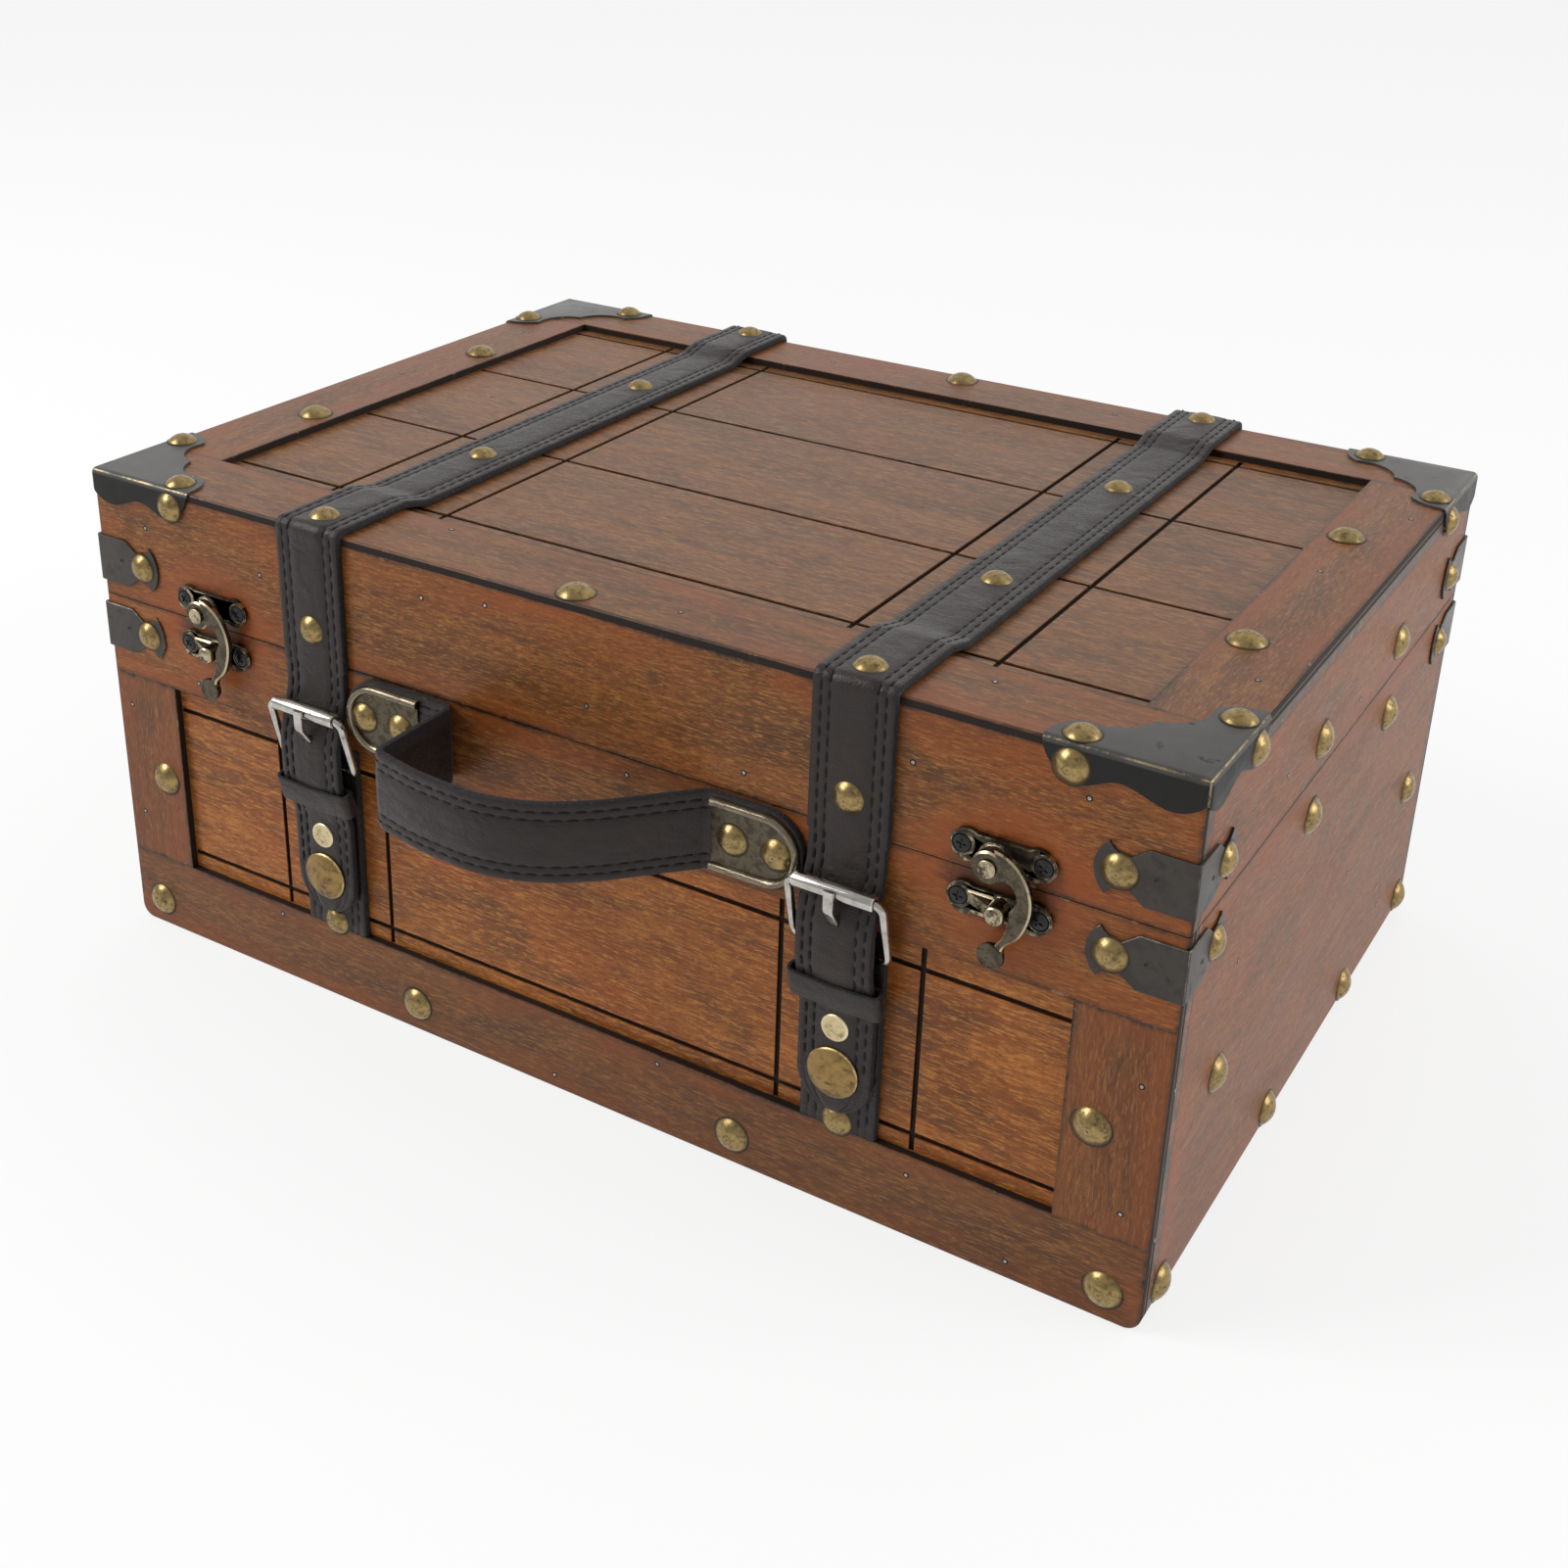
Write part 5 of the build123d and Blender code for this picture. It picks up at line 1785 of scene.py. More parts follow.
@dataclass
class Straps:
    """The straps over the lid with their tongues, the strap feet and the keepers."""

    paints: Paints
    width: float = 25.0
    tongue_width: float = 24.0
    tongue_thick: float = 2.4
    tail_level: float = LID_BOTTOM + 3.4
    step_inset: float = 1.2714
    step_run: float = 10.0
    step_bend: float = 9.0
    corner_round: float = 2.0
    tongue_bend: float = 8.0
    tongue_drops: tuple[Pair, ...] = (
        (0.0, 1.3), (8.976, 1.56), (25.1, 6.6), (38.1, 6.6), (54.1, 2.5), (87.4, 2.5),
    )
    slot_drop: float = 24.5
    slot_rise: float = 6.6
    slot_size: Triple = (3.5, 9.0, 1.9)
    slot_lean: float = math.radians(54.6)
    seams: Pair = (2.9, 5.5)
    point_run: float = 13.0
    point_end: float = 3.4
    keeper_drop: float = 47.9
    keeper_lift: float = 3.4
    keeper_height: float = 9.0
    keeper_thick: float = 1.2
    keeper_inner: Pair = (27.2, 2.8)
    blend_start: float = 126.6
    blend_end: float = 116.4
    blend_lean: float = 0.5

    def route(self, side: Side) -> Route:
        """The strap's middle line, from its tail at the back to the tongue's tip.

        Args:
            side: Which strap.

        Returns:
            The route.
        """
        half = STRAP_THICK / 2
        top = CASE_HEIGHT + half
        sunk = PANEL_TOP + half
        back_step = BACK_RAIL_EDGE - self.step_inset
        front_step = FRONT_RAIL_EDGE + self.step_inset
        points = [
            (BACK + half, self.tail_level), (BACK + half, top), (back_step, top),
            (back_step - self.step_run, sunk), (front_step + self.step_run, sunk),
            (front_step, top), (FRONT - half, top),
        ]
        points += [(FRONT - rise, FLAP_Z - drop) for drop, rise in self.tongue_drops]
        radii = [self.corner_round] + [self.step_bend] * 4 + [self.corner_round] + [self.tongue_bend] * 5
        return Route(strap_plane(side), points, radii, step=1.6)

    def shaped(self, route: Route) -> list[Station]:
        """The route's stations, narrowed for the tongue and rounded at its tip.

        Args:
            route: The strap's route.

        Returns:
            The stations with their widths.
        """
        tip = self.tongue_width / 2
        rows = []
        for station in route.stations:
            left = route.length + self.tongue_thick / 2 - station.distance
            on_tongue = station.place.translation.z < FLAP_Z and station.place.translation.y < FRONT
            width = self.tongue_width / self.width if on_tongue else 1.0
            depth = self.tongue_thick / STRAP_THICK if on_tongue else 1.0
            if on_tongue:
                width *= rounded(left, tip)
            rows.append(Station(station.place, station.distance, width, depth))
        end = rows[-1]
        run = end.place.col[2].to_3d()
        for ahead, width in ((0.7, 0.32), (1.1, 0.14)):
            place = Matrix.Translation(run * ahead) @ end.place
            rows.append(Station(place, end.distance + ahead, width, self.tongue_thick / STRAP_THICK * 0.8))
        return rows

    def band(self, side: Side, route: Route) -> None:
        """The strap and its tongue in one piece, which bends at the gap.

        Args:
            side: Which strap.
            route: Its route.
        """
        shape = Shape()
        sweep(shape, StitchedSection(self.width, STRAP_THICK, self.seams).rows(), self.shaped(route))
        shape.cut(self.slot(side))
        nodes = (f"{side.word}_lid_strap", f"{side.word}_tongue")
        piece = shape.finish(f"{side.word}_strap_and_tongue", self.paints.leather, "dark_leather", *nodes)
        self.hang(piece, side)

    def slot(self, side: Side) -> Shape:
        """The slanting slot that the prong passes.

        Args:
            side: Which strap.

        Returns:
            The slot's shape.
        """
        place = Matrix.Translation((side.value * STRAP_X, FRONT - self.slot_rise, FLAP_Z - self.slot_drop))
        return Shape.block(self.slot_size, place @ Matrix.Rotation(-self.slot_lean, 4, "X"))

    def hang(self, piece: bpy.types.Object, side: Side) -> None:
        """Let a piece bend between the lid and its tongue's body.

        Args:
            piece: The piece.
            side: Which strap it belongs to.
        """
        x = side.value * STRAP_X
        middle = FRONT - STRAP_THICK / 2
        start = Vector((x, middle + self.blend_lean, self.blend_start)) * MM
        end = Vector((x, middle - self.blend_lean, self.blend_end)) * MM
        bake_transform(piece, "lid", f"{side.word}_flap", start=start, end=end)

    def seams_of(self, side: Side, route: Route) -> None:
        """The double rows of stitches along both edges, and the pointed turn at the tip.

        Args:
            side: Which strap.
            route: Its route.
        """
        stitching = Stitching()
        turn = route.length - self.point_run
        stitching.rows(route, 2.0, turn, self.width, self.seams)
        reach = self.width / 2 - self.seams[0] - 0.6
        for way in (-1, 1):
            stitching.leg(route, (way * reach, turn), (way * 0.4, route.length - self.point_end))
        name = f"{side.word}_strap_stitching"
        self.hang(stitching.shape.finish(name, self.paints.thread, "dark_leather"), side)

    def foot(self, side: Side) -> None:
        """The strap foot that lies in the front's recess under the tongue.

        Args:
            side: Which foot.
        """
        middle = PANEL_FRONT - STRAP_THICK / 2
        levels = (TOP_RAIL_BOTTOM - 0.2, 60.0, BOTTOM_RAIL + 0.2)
        route = Route(strap_plane(side), [(middle, level) for level in levels], [2.0])
        shape = Shape()
        sweep(shape, StitchedSection(self.width, STRAP_THICK, self.seams, crown=0.1).rows(), route.stations)
        word = side.word
        shape.fit(f"{word}_strap_foot", self.paints.leather, "base", "dark_leather", f"{word}_base_strap")
        stitching = Stitching()
        stitching.rows(route, 1.0, route.length - 1.0, self.width, self.seams)
        stitching.shape.fit(f"{word}_strap_foot_stitching", self.paints.thread, "base", "dark_leather")

    def keeper(self, side: Side) -> None:
        """The leather loop round the tongue.

        Args:
            side: Which tongue.
        """
        (low_drop, lift), (settle_drop, rest) = self.tongue_drops[3], self.tongue_drops[4]
        run, fall = settle_drop - low_drop, lift - rest
        drop = self.keeper_drop - (self.keeper_lift if side is Side.LEFT else 0.0)
        rise = rest + (settle_drop - drop) / run * fall
        down = Vector((0.0, fall, -run)).normalized()
        centre = Vector((side.value * STRAP_X, FRONT - rise, FLAP_Z - drop))
        plane = Plane(centre, ALONG_X, ALONG_X.cross(down).normalized())
        half_width = (self.keeper_inner[0] + self.keeper_thick) / 2
        half_depth = (self.keeper_inner[1] + self.keeper_thick) / 2
        signs = ((1, -1), (1, 1), (-1, 1), (-1, -1))
        corners = [(across * half_width, deep * half_depth) for across, deep in signs]
        route = Route(plane, corners, [1.5] * 4, closed=True, step=2.0)
        section = flat_profile(self.keeper_height, self.keeper_thick, 0.35, 1.0)
        shape = Shape()
        stations = []
        for station in route.stations:
            middle = 1.0 - abs((station.place.translation - centre).x) / half_width
            sag = Matrix.Translation(down * (0.9 * middle - 0.4))
            stations.append(Station(sag @ station.place, station.distance))
        sweep(shape, section, stations, closed=True)
        shape.fit_twin(side, "keeper_loop", self.paints.leather, "flap", "dark_leather", "keeper")

    def build(self) -> None:
        """Make both straps with all their leather."""
        for side in Side:
            route = self.route(side)
            self.band(side, route)
            self.seams_of(side, route)
            self.foot(side)
            self.keeper(side)


# Buckles


@dataclass
class Buckles:
    """The roller buckles and the press studs on the tongues."""

    paints: Paints
    rod: float = 1.3
    width: float = 32.0
    roller_radius: float = 2.3
    roller_length: float = 25.0
    tuck: float = 0.8
    roller_drop: float = 13.6
    roller_rise: float = 8.0
    heel_drop: float = 34.4
    heel_rise: float = 2.7
    prong_width: float = 3.0
    prong_thick: float = 1.25
    rivet_drop: float = 60.1
    snap_drop: float = 75.1
    tongue_face: float = 3.7
    prong_foot_drop: float = 25.1

    def frame(self, side: Side) -> None:
        """The wire frame, from the heel bar round to the bar in the roller.

        Args:
            side: Which buckle.
        """
        climb = self.heel_drop - self.roller_drop
        out = self.roller_rise - self.heel_rise
        heel = Vector((side.value * STRAP_X, FRONT - self.heel_rise, FLAP_Z - self.heel_drop))
        up = Vector((0.0, -out, climb)).normalized()
        length = math.hypot(climb, out)
        reach = self.width / 2 - self.rod
        plane = Plane(heel, ALONG_X, up)
        corners = [(reach, 0.0), (reach, length), (-reach, length), (-reach, 0.0)]
        bend = reach - self.roller_length / 2 + self.tuck
        route = Route(plane, corners, [bend] * 4, closed=True, step=4.0, arc_step=math.radians(12.0))
        shape = Shape()
        sweep(shape, round_profile(self.rod), route.stations, closed=True)
        shape.fit_twin(side, "buckle_wire", self.paints.nickel, "flap", "nickel_steel", "buckle_frame")

    def roller(self, side: Side) -> None:
        """The roller: a tube with turned-in ends.

        Args:
            side: Which buckle.
        """
        half, outer, bore = self.roller_length / 2, self.roller_radius, self.rod + 0.15
        rows = [
            (bore, -half + 2.0, 0.0, 0.8), (bore, -half, 0.0, 0.5), (outer - 0.45, -half, 0.6, 0.0),
            (outer - 0.12, -half + 0.1, 1.0, 0.0), (outer, -half + 0.45, 0.6, 0.0),
            (outer, -half * 0.3, 0.1, 0.0),
            (outer, half * 0.3, 0.1, 0.0), (outer, half - 0.45, 0.6, 0.0),
            (outer - 0.12, half - 0.1, 1.0, 0.0),
            (outer - 0.45, half, 0.6, 0.0), (bore, half, 0.0, 0.5), (bore, half - 2.0, 0.0, 0.8),
        ]
        centre = Vector((side.value * STRAP_X, FRONT - self.roller_rise, FLAP_Z - self.roller_drop))
        shape = Shape()
        shape.lathe(rows, Matrix.Translation(centre) @ Matrix.Rotation(math.pi / 2, 4, "Y"), steps=36)
        shape.fit_twin(side, "buckle_roller", self.paints.nickel, "roller", "nickel_steel", "roller")

    def prong(self, side: Side) -> None:
        """The prong: a flat wire looped round the heel bar and resting on the roller.

        Args:
            side: Which buckle.
        """
        ring = self.rod + 0.1
        middle = ring + self.prong_thick / 2
        over = self.roller_rise + self.roller_radius + 0.1 + self.prong_thick / 2
        heel_y, heel_z = FRONT - self.heel_rise, FLAP_Z - self.heel_drop
        points = [
            (heel_y - middle, heel_z),
            (heel_y - middle, FLAP_Z - self.prong_foot_drop - self.prong_thick * 2.2),
            (FRONT - over, FLAP_Z - self.roller_drop - self.roller_radius * 2.1),
            (FRONT - over, FLAP_Z - self.roller_drop + self.roller_radius * 0.6),
        ]
        plane = strap_plane(side)
        route = Route(plane, points, [middle, 3.2], step=0.9)
        section = flat_profile(self.prong_width, self.prong_thick, 0.5, 0.8)
        stations = [
            Station(station.place, station.distance, 1.0 + 0.12 * station.distance / route.length)
            for station in route.stations
        ]
        shape = Shape()
        sweep(shape, section, stations)
        loop_plane = Plane(plane.at(Vector((heel_y, heel_z))), ALONG_Y, ALONG_Z)
        corners = [(middle, -middle), (middle, middle), (-middle, middle), (-middle, -middle)]
        loop = Route(loop_plane, corners, [middle * 0.999] * 4, closed=True)
        sweep(shape, section, loop.stations, closed=True)
        shape.fit_twin(side, "buckle_prong", self.paints.nickel, "flap", "nickel_steel", "prong")

    def rivet(self, side: Side) -> None:
        """The flat rivet under the keeper.

        Args:
            side: Which tongue.
        """
        rows = [
            (0.0, 0.62, 0.2, 0.1), (1.6, 0.66, 0.3, 0.0), (3.1, 0.72, 0.4, 0.0), (3.9, 0.7, 0.8, 0.0),
            (4.25, 0.5, 0.9, 0.0), (4.4, 0.25, 0.3, 0.2), (4.35, 0.0, 0.0, 0.9),
        ]
        place = on_front(side.value * STRAP_X, FLAP_Z - self.rivet_drop, self.tongue_face)
        shape = Shape()
        shape.lathe(rows, place, steps=32)
        shape.fit_twin(side, "tongue_rivet_head", self.paints.pale, "flap", "pale_brass", "tongue_rivet")

    def snap(self, side: Side) -> None:
        """The press stud's cap, with its socket behind, and the post that it closes on.

        Args:
            side: Which tongue.
        """
        place = on_front(side.value * STRAP_X, FLAP_Z - self.snap_drop, self.tongue_face)
        cap = [
            (0.0, 2.60, 0.3, 0.0), (1.8, 2.54, 0.3, 0.0), (3.6, 2.34, 0.3, 0.0), (5.2, 2.02, 0.3, 0.0),
            (6.6, 1.60, 0.3, 0.0), (7.6, 1.15, 0.5, 0.0), (8.1, 0.80, 0.8, 0.0), (8.25, 0.5, 0.6, 0.0),
            (8.2, 0.2, 0.1, 0.6), (7.9, 0.0, 0.0, 0.9), (3.0, 0.0, 0.0, 0.9), (3.0, -2.4, 0.4, 0.3),
            (2.7, -2.6, 0.6, 0.2), (2.0, -2.6, 0.6, 0.3), (2.0, 0.4, 0.0, 0.9), (0.0, 0.4, 0.0, 0.9),
        ]
        shape = Shape()
        shape.lathe(cap, place, steps=40)
        shape.fit_twin(side, "press_stud_cap", self.paints.snap, "flap", "snap_brass", "snap_cap")
        post = [
            (5.0, 0.0, 0.0, 0.6), (5.0, 0.45, 0.8, 0.0), (4.7, 0.7, 0.8, 0.0), (3.0, 0.62, 0.3, 0.2),
            (2.0, 0.7, 0.1, 0.7), (1.55, 1.0, 0.1, 0.4), (1.5, 1.6, 0.3, 0.0), (1.8, 2.2, 0.6, 0.0),
            (1.75, 2.7, 0.8, 0.0), (1.2, 2.98, 0.8, 0.0), (0.0, 3.05, 0.6, 0.0),
        ]
        place = on_front(side.value * STRAP_X, FLAP_Z - self.snap_drop, STRAP_THICK - OVERLAY)
        shape = Shape()
        shape.lathe(post, place, steps=32)
        word = side.word
        shape.fit(f"{word}_press_stud_post", self.paints.snap, "base", "snap_brass", f"{word}_snap_stud")

    def build(self) -> None:
        """Make both buckles and press studs."""
        for side in Side:
            self.frame(side)
            self.roller(side)
            self.prong(side)
            self.rivet(side)
            self.snap(side)


# Handle


@dataclass
class Handle:
    """The folded leather handle and the stamped plates over its ends."""

    paints: Paints
    height: float = 25.2
    half_span: float = 82.0
    reach: float = 39.0
    fold_round: float = 3.6
    sweep_rounds: tuple[float, ...] = (60.0, 45.0, 45.0, 60.0)
    root_round: float = 5.0
    plate_inner: float = 52.7
    plate_outer: float = 81.4
    plate_height: float = 23.0
    rim_width: float = 2.6
    rim_height: float = 2.1
    shares: tuple[Pair, ...] = ((-0.5, 0.9), (-0.29, 1.0), (-0.02, 1.035), (0.19, 0.9), (0.36, 0.62))
    seams: Pair = (2.7, 5.2)

    def band(self) -> None:
        """The band, with the stitches along both of its edges."""
        lie = FRONT - HANDLE_THICK / 2
        points = [(-self.half_span, lie), (self.shares[0][0] * self.half_span, lie)]
        points += [(along * self.half_span, FRONT - out * self.reach) for along, out in self.shares]
        points += [(self.plate_inner - self.root_round * 0.45, lie), (self.half_span, lie)]
        radii = [self.fold_round] * 2 + [*self.sweep_rounds] + [self.root_round]
        plane = Plane(Vector((0.0, 0.0, HANDLE_LEVEL)), ALONG_X, ALONG_Y)
        route = Route(plane, points, radii, step=1.5, arc_step=math.radians(3.0))
        end_round = self.height / 2
        stations = []
        for station in route.stations:
            left = min(station.distance, route.length - station.distance) + 0.3
            stations.append(Station(station.place, station.distance, rounded(left, end_round)))
        shape = Shape()
        sweep(shape, StitchedSection(self.height, HANDLE_THICK, self.seams).rows(), stations)
        shape.fit("handle_band", self.paints.leather, "base", "dark_leather", "handle_strap")
        stitching = Stitching()
        covered = self.half_span - self.plate_inner + 0.5
        stitching.rows(route, covered, route.length - covered, self.height, self.seams)
        stitching.shape.fit("handle_stitching", self.paints.thread, "base", "dark_leather")

    def plate(self, side: Side) -> None:
        """One plate: a thin sheet with a rolled rim on three sides.

        Args:
            side: Which end of the handle.
        """
        radius = self.plate_height / 2
        middle = self.plate_outer - radius
        shape = Shape()
        bmesh.ops.create_circle(shape.mesh, cap_ends=True, segments=56, radius=radius - 0.5)
        for vert in shape.mesh.verts:
            if vert.co.x < -1e-4:
                vert.co.x = self.plate_inner - middle
        grown = bmesh.ops.extrude_face_region(shape.mesh, geom=shape.mesh.faces[:])["geom"]
        lifted = [item for item in grown if isinstance(item, bmesh.types.BMVert)]
        bmesh.ops.translate(shape.mesh, vec=(0.0, 0.0, SHEET), verts=lifted)
        shape.ease(0.15, 2)
        turn = Matrix.Identity(4) if side is Side.RIGHT else Matrix.Rotation(math.pi, 4, "Z")
        centre = on_front(side.value * middle, HANDLE_LEVEL, HANDLE_THICK) @ turn
        bmesh.ops.transform(shape.mesh, matrix=centre, verts=shape.mesh.verts)
        name = f"{side.word}_handle_plate"
        shape.fit(f"{name}_field", self.paints.bronze, "base", "bronzed_steel", name)
        self.rim(side, centre, middle)

    def rim(self, side: Side, centre: Matrix, middle: float) -> None:
        """The rolled rim of one plate.

        Args:
            side: Which end of the handle.
            centre: The plate's place, at the middle of its round end.
            middle: How far that middle is from the case's middle.
        """
        line = self.plate_height / 2 - self.rim_width / 2
        start = self.plate_inner - middle
        corner = line - 0.01
        points = [(start, -line), (corner, -line), (corner, line), (start, line)]
        plane = Plane(centre.translation, centre.col[0].to_3d(), centre.col[1].to_3d())
        route = Route(plane, points, [line - 0.05] * 2, step=2.0, arc_step=math.radians(7.0))
        half, tall = self.rim_width / 2, self.rim_height
        rows = [
            (0.0, -half, 0.0), (0.9, -half, 0.2), (1.5, -half * 0.8, 0.7), (tall * 0.93, -half * 0.45, 1.0),
            (tall, 0.0, 0.7), (tall * 0.93, half * 0.5, 0.9), (1.5, half * 0.85, 0.5), (0.8, half, 0.0),
            (0.0, half, 0.0),
        ]
        shape = Shape()
        sweep(shape, rows, route.stations)
        shape.fit(f"{side.word}_handle_plate_rim", self.paints.rim, "base", "bronzed_steel")

    def build(self) -> None:
        """Make the handle and both plates."""
        self.band()
        for side in Side:
            self.plate(side)


# Latches and hinges


def driven(master: bpy.types.Mesh, places: Sequence[Matrix], seed: int) -> Shape:
    """Put a screw at each place, its cross turned its own way.

    Args:
        master: The screw head.
        places: Where the screws go.
        seed: What starts the random turns.

    Returns:
        The screws' shape.
    """
    shape = Shape()
    chance = random.Random(seed)
    for place in places:
        shape.append(master, place @ Matrix.Rotation(chance.uniform(0.0, math.pi), 4, "Z"))
    return shape


@dataclass
class Latches:
    """The swing latches: plates with raised rims, hooks, catches and screws."""

    paints: Paints
    offset: float = 139.5
    plate_level: float = 134.0
    catch_level: float = 118.3
    plate_thick: float = 1.6
    half_pitch: float = 11.5
    pivot_level: float = 131.8
    pivot_shift: float = 2.0
    hook_size: float = 25.7
    tail_rise: float = 4.7
    rim: float = 0.75
    sunk: float = 0.45
    screw_radius: float = 2.5
    screw_sunk: float = 0.12
    well_radius: float = 2.8
    pin_rise: float = 3.2

    def framed(self, node: str, name: str, body: str) -> None:
        """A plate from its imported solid, its field sunk inside a rim.

        Args:
            node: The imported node.
            name: The piece's name.
            body: The body that it moves with.
        """
        shape = Shape()
        shape.copy_node(node)
        level = FRONT - self.plate_thick
        field_faces = [
            face for face in shape.mesh.faces
            if face.normal.y < -0.95 and abs(face.calc_center_median().y - level) < 0.05
        ]
        bmesh.ops.inset_region(
            shape.mesh, faces=field_faces, thickness=self.rim, use_boundary=True, use_even_offset=False
        )
        inner = {vert for face in field_faces if face.is_valid for vert in face.verts}
        bmesh.ops.translate(shape.mesh, vec=(0.0, self.sunk, 0.0), verts=list(inner))
        for vert in inner:
            vert[shape.dirt_and_shade] = 0.55
        shape.ease(0.22, 2, least=32.0)
        shape.rub_slanted()
        self.wear(shape)
        shape.fit(name, self.paints.bronze, body, "bronzed_steel", node)

    def wear(self, shape: Shape) -> None:
        """Blacken the plate round its screws, and polish the heads of its pins.

        Args:
            shape: The plate.
        """
        rubbed = shape.mesh.loops.layers.float["edge"]
        dirt_and_shade = shape.mesh.verts.layers.float["dirt_and_shade"]
        for face in shape.mesh.faces:
            spot = face.calc_center_median()
            across = abs(abs(abs(spot.x) - self.offset) - self.half_pitch)
            up = min(abs(spot.z - self.plate_level), abs(spot.z - self.catch_level))
            if math.hypot(across, up) < self.well_radius:
                for loop in face.loops:
                    loop[rubbed] = 0.0
                    loop.vert[dirt_and_shade] = 0.8
            if spot.y < FRONT - self.pin_rise and face.normal.y < -0.5:
                for loop in face.loops:
                    loop[rubbed] = max(loop[rubbed], 0.8)

    def hook(self, side: Side) -> None:
        """The hook from its imported solid, with a dished thumb tail.

        Args:
            side: Which latch.
        """
        shape = Shape()
        shape.copy_node(f"{side.word}_hook")
        rows = [
            (0.0, 0.5, 0.2, 0.5), (1.5, 0.62, 0.3, 0.4), (2.6, 1.15, 0.5, 0.0), (3.3, 1.5, 0.75, 0.0),
            (3.8, 1.25, 0.6, 0.0), (3.95, 0.6, 0.2, 0.0), (3.6, -0.3, 0.1, 0.1), (2.2, -0.9, 0.0, 0.3),
            (0.0, -1.0, 0.0, 0.4),
        ]
        x = side.value * self.offset - self.pivot_shift + 0.1 * self.hook_size
        shape.lathe(rows, on_front(x, self.pivot_level - self.hook_size, self.tail_rise), steps=26)
        bmesh.ops.recalc_face_normals(shape.mesh, faces=shape.mesh.faces)
        shape.rub_slanted(0.97, 0.82)
        shape.fit_twin(side, "latch_hook", self.paints.bronze, "hook", "bronzed_steel", "hook")

    def screw_master(self) -> bpy.types.Mesh:
        """A countersunk screw head with its cross recess.

        Returns:
            A master mesh whose rim is at Z = 0.
        """
        outer = self.screw_radius
        rows = [
            (0.0, 0.42, 0.3, 0.0), (outer * 0.5, 0.34, 0.3, 0.0), (outer * 0.85, 0.16, 0.5, 0.0),
            (outer, 0.0, 0.6, 0.2), (outer * 0.9, -0.25, 0.0, 0.8), (outer * 0.5, -0.75, 0.0, 0.9),
            (0.0, -0.8, 0.0, 0.9),
        ]
        head = Shape()
        head.lathe(rows, Matrix.Identity(4), steps=24)
        for turn in (0.0, math.pi / 2):
            place = Matrix.Translation((0.0, 0.0, 0.45)) @ Matrix.Rotation(turn + 0.4, 4, "Z")
            head.cut(Shape.block((outer * 1.15, 0.62, 1.1), place))
        return head.master()

    def build(self) -> None:
        """Make both latches."""
        for side in Side:
            self.framed(f"{side.word}_latch_plate", f"{side.word}_latch_upper_plate", "lid")
            self.framed(f"{side.word}_catch", f"{side.word}_latch_lower_plate", "base")
            self.hook(side)
        master = self.screw_master()
        for name, level, body in (
            ("latch_upper_screws", self.plate_level, "lid"),
            ("latch_lower_screws", self.catch_level, "base"),
        ):
            xs = [side.value * self.offset + way * self.half_pitch for side in Side for way in (-1, 1)]
            places = [on_front(x, level, self.plate_thick - self.screw_sunk) for x in xs]
            driven(master, places, len(name)).fit(name, self.paints.screw, body, "bronzed_steel")
        Hinges(self.paints).build(master)


@dataclass
class Hinges:
    """The butt hinges behind the case."""

    paints: Paints
    offset: float = 135.0
    axis_level: float = 126.45
    screw_rise: float = 1.30
    screw_reach: float = 10.2
    third: float = 34.0 / 3

    def build(self, master: bpy.types.Mesh) -> None:
        """Make the leaves, pins and screws.

        Args:
            master: The screw head.
        """
        for node, name, body in (
            ("base_hinge_leaves", "base_hinge_plates", "base"),
            ("lid_hinge_leaves", "lid_hinge_plates", "lid"),
            ("hinge_pins", "hinge_pin_rods", "base"),
        ):
            shape = Shape()
            shape.copy_node(node)
            shape.ease(0.18, 2)
            shape.rub_slanted()
            shape.fit(name, self.paints.bronze, body, "hinge_steel", node)
        for way, name, body in ((-1, "base_hinge_screws", "base"), (1, "lid_hinge_screws", "lid")):
            level = self.axis_level + way * self.screw_reach
            xs = [side.value * self.offset + spot * self.third for side in Side for spot in (-1, 0, 1)]
            places = [on_back(x, level, self.screw_rise) for x in xs]
            driven(master, places, way + 5).fit(name, self.paints.screw, body, "hinge_steel")


# The stage


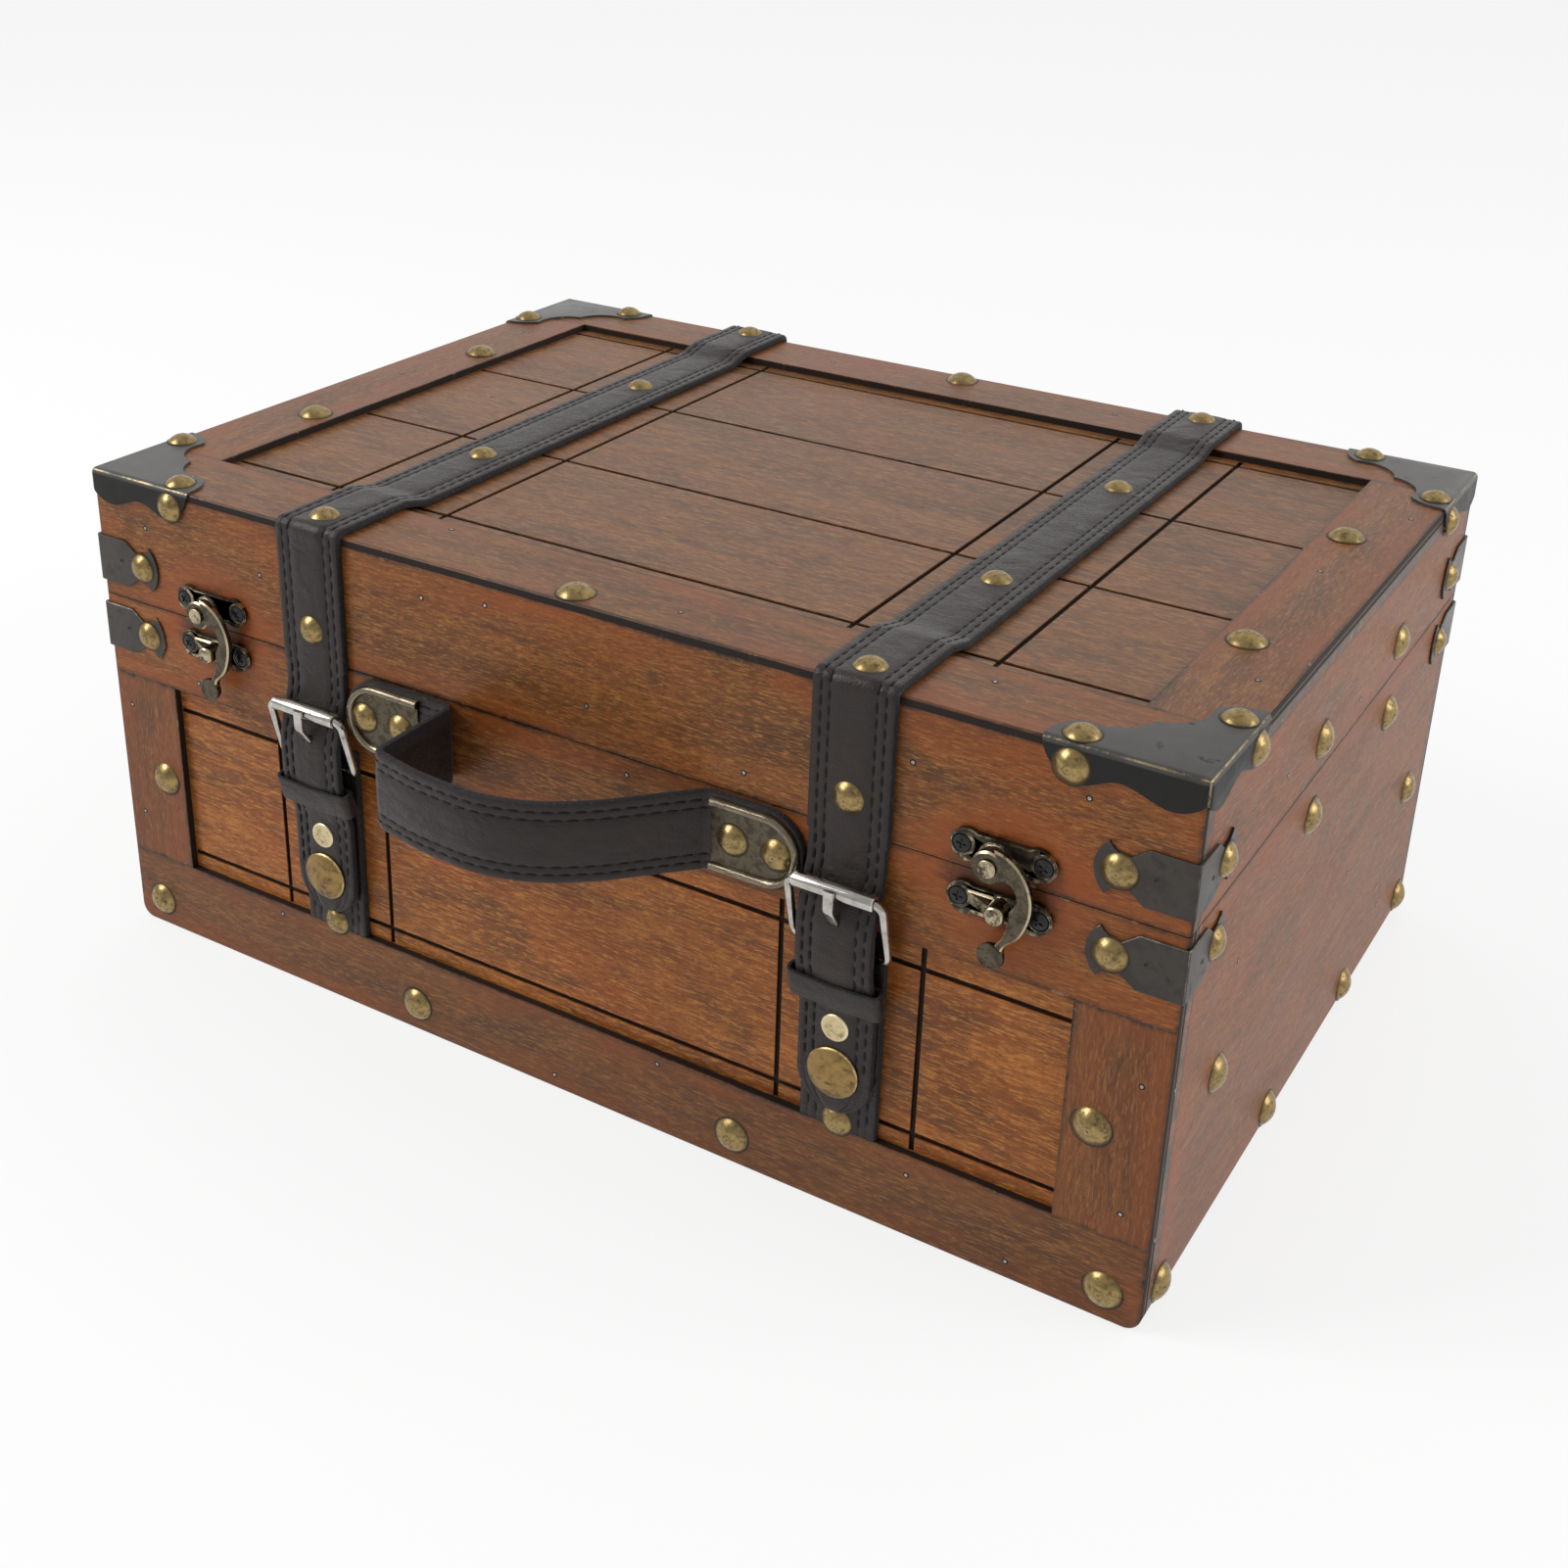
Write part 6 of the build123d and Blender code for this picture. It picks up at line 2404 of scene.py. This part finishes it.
@dataclass
class Studio:
    """Camera, lamps, backdrop and floor."""

    lens: float = 45.98
    sensor: float = 36.0
    camera_place: Triple = (0.3111, -0.5467, 0.3955)
    azimuth: float = 31.3063
    elevation: float = 23.817
    roll: float = 1.3233
    shift: Pair = (0.0287, -0.1090)
    target: Triple = (0.0, 0.0, 0.08)
    white: Color = (1.0, 1.0, 1.0)
    floor_tone: Color = (0.92, 0.92, 0.92)
    floor_half: float = 6.0
    floor_glow: float = 0.78
    mirrored: float = 0.30
    surround: tuple[float, ...] = (-0.45, 0.75, 0.34, 0.95)

    def camera(self) -> None:
        """Place the camera that takes the photograph's view."""
        data = bpy.data.cameras.new("photo_camera")
        data.lens = self.lens
        data.sensor_width = self.sensor
        data.shift_x, data.shift_y = self.shift
        data.clip_start = 0.01
        data.clip_end = 50.0
        turn, climb, lean = map(math.radians, (self.azimuth, self.elevation, self.roll))
        level = math.cos(climb)
        back = Vector((math.sin(turn) * level, -math.cos(turn) * level, math.sin(climb)))
        right = ALONG_Z.cross(back).normalized()
        up = back.cross(right)
        across = right * math.cos(lean) + up * math.sin(lean)
        upright = up * math.cos(lean) - right * math.sin(lean)
        camera = placed("photo_camera", data)
        camera.matrix_world = axes(across, upright, back, Vector(self.camera_place))
        bpy.context.scene.camera = camera

    def lamp(self, name: str, place: Triple, size: float, power: float) -> None:
        """Add one soft square lamp that looks at the chest.

        Args:
            name: The lamp's name.
            place: Where it stands.
            size: The length of its sides, in metres.
            power: Its power in watts.
        """
        data = bpy.data.lights.new(name, "AREA")
        data.shape = "SQUARE"
        data.size = size
        data.energy = power
        aim = Vector(self.target) - Vector(place)
        rows = aim.to_track_quat("-Z", "Y").to_matrix().to_4x4()
        rows.translation = Vector(place)
        placed(name, data).matrix_world = rows

    def world(self) -> None:
        """A white surround, as a light brighter towards the backdrop than in front."""
        world = bpy.data.worlds.new("studio")
        bpy.context.scene.world = world
        tree = Tree(world)
        way = tree.add("ShaderNodeTexCoord", {}).outputs["Generated"]
        split = tree.add("ShaderNodeSeparateXYZ", {"Vector": way})
        strength = tree.remap(split.outputs["Y"], *self.surround)
        light, shown = (
            tree.add("ShaderNodeBackground", {"Color": self.white, "Strength": level}).outputs["Background"]
            for level in (strength, 1.0)
        )
        tree.mixed("ShaderNodeOutputWorld", self.seen(tree, self.mirrored), light, shown)

    @staticmethod
    def seen(tree: Tree, mirrored: float) -> Socket:
        """How much of the plain white a ray is shown: all of it to the camera and through glass.

        Args:
            tree: The node tree.
            mirrored: The share that rays mirrored in metal are shown.

        Returns:
            The share's socket.
        """
        path = tree.add("ShaderNodeLightPath", {}).outputs
        clear = tree.math("MAXIMUM", path["Is Camera Ray"], path["Is Transmission Ray"])
        return tree.math("MAXIMUM", clear, tree.times(path["Is Glossy Ray"], mirrored))

    def floor(self) -> None:
        """A plain pale floor that keeps the object's shadow."""
        shape = bmesh.new()
        bmesh.ops.create_grid(shape, x_segments=1, y_segments=1, size=self.floor_half)
        data = bpy.data.meshes.new("floor")
        shape.to_mesh(data)
        shape.free()
        material = bpy.data.materials.new("pale_floor")
        tree = Tree(material)
        matte = tree.add("ShaderNodeBsdfDiffuse", {"Color": self.floor_tone}).outputs["BSDF"]
        glow = tree.add("ShaderNodeEmission", {"Strength": 1.0}).outputs["Emission"]
        share = tree.times(self.seen(tree, 1.0), self.floor_glow)
        tree.mixed("ShaderNodeOutputMaterial", share, matte, glow)
        data.materials.append(material)
        placed("floor", data)

    def build(self) -> None:
        """Set up the whole studio."""
        self.camera()
        self.world()
        self.floor()
        self.lamp("key", (-1.3, -1.0, 1.35), 1.0, 24.5)
        self.lamp("side", (1.9, 0.6, 1.0), 1.2, 16.0)
        bpy.context.scene.view_settings.view_transform = "Standard"


def main() -> None:
    """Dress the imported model, piece by piece."""
    logging.basicConfig(level=logging.INFO, format="%(name)s: %(message)s")
    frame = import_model()
    Studio().build()
    paints = Paints()
    Boards().dress(frame["nodes"])
    for assembly in (CornerMetal, Straps, Buckles, Handle, Latches, Studs, Brads):
        assembly(paints).build()
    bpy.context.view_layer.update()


if __name__ == "__main__":
    main()
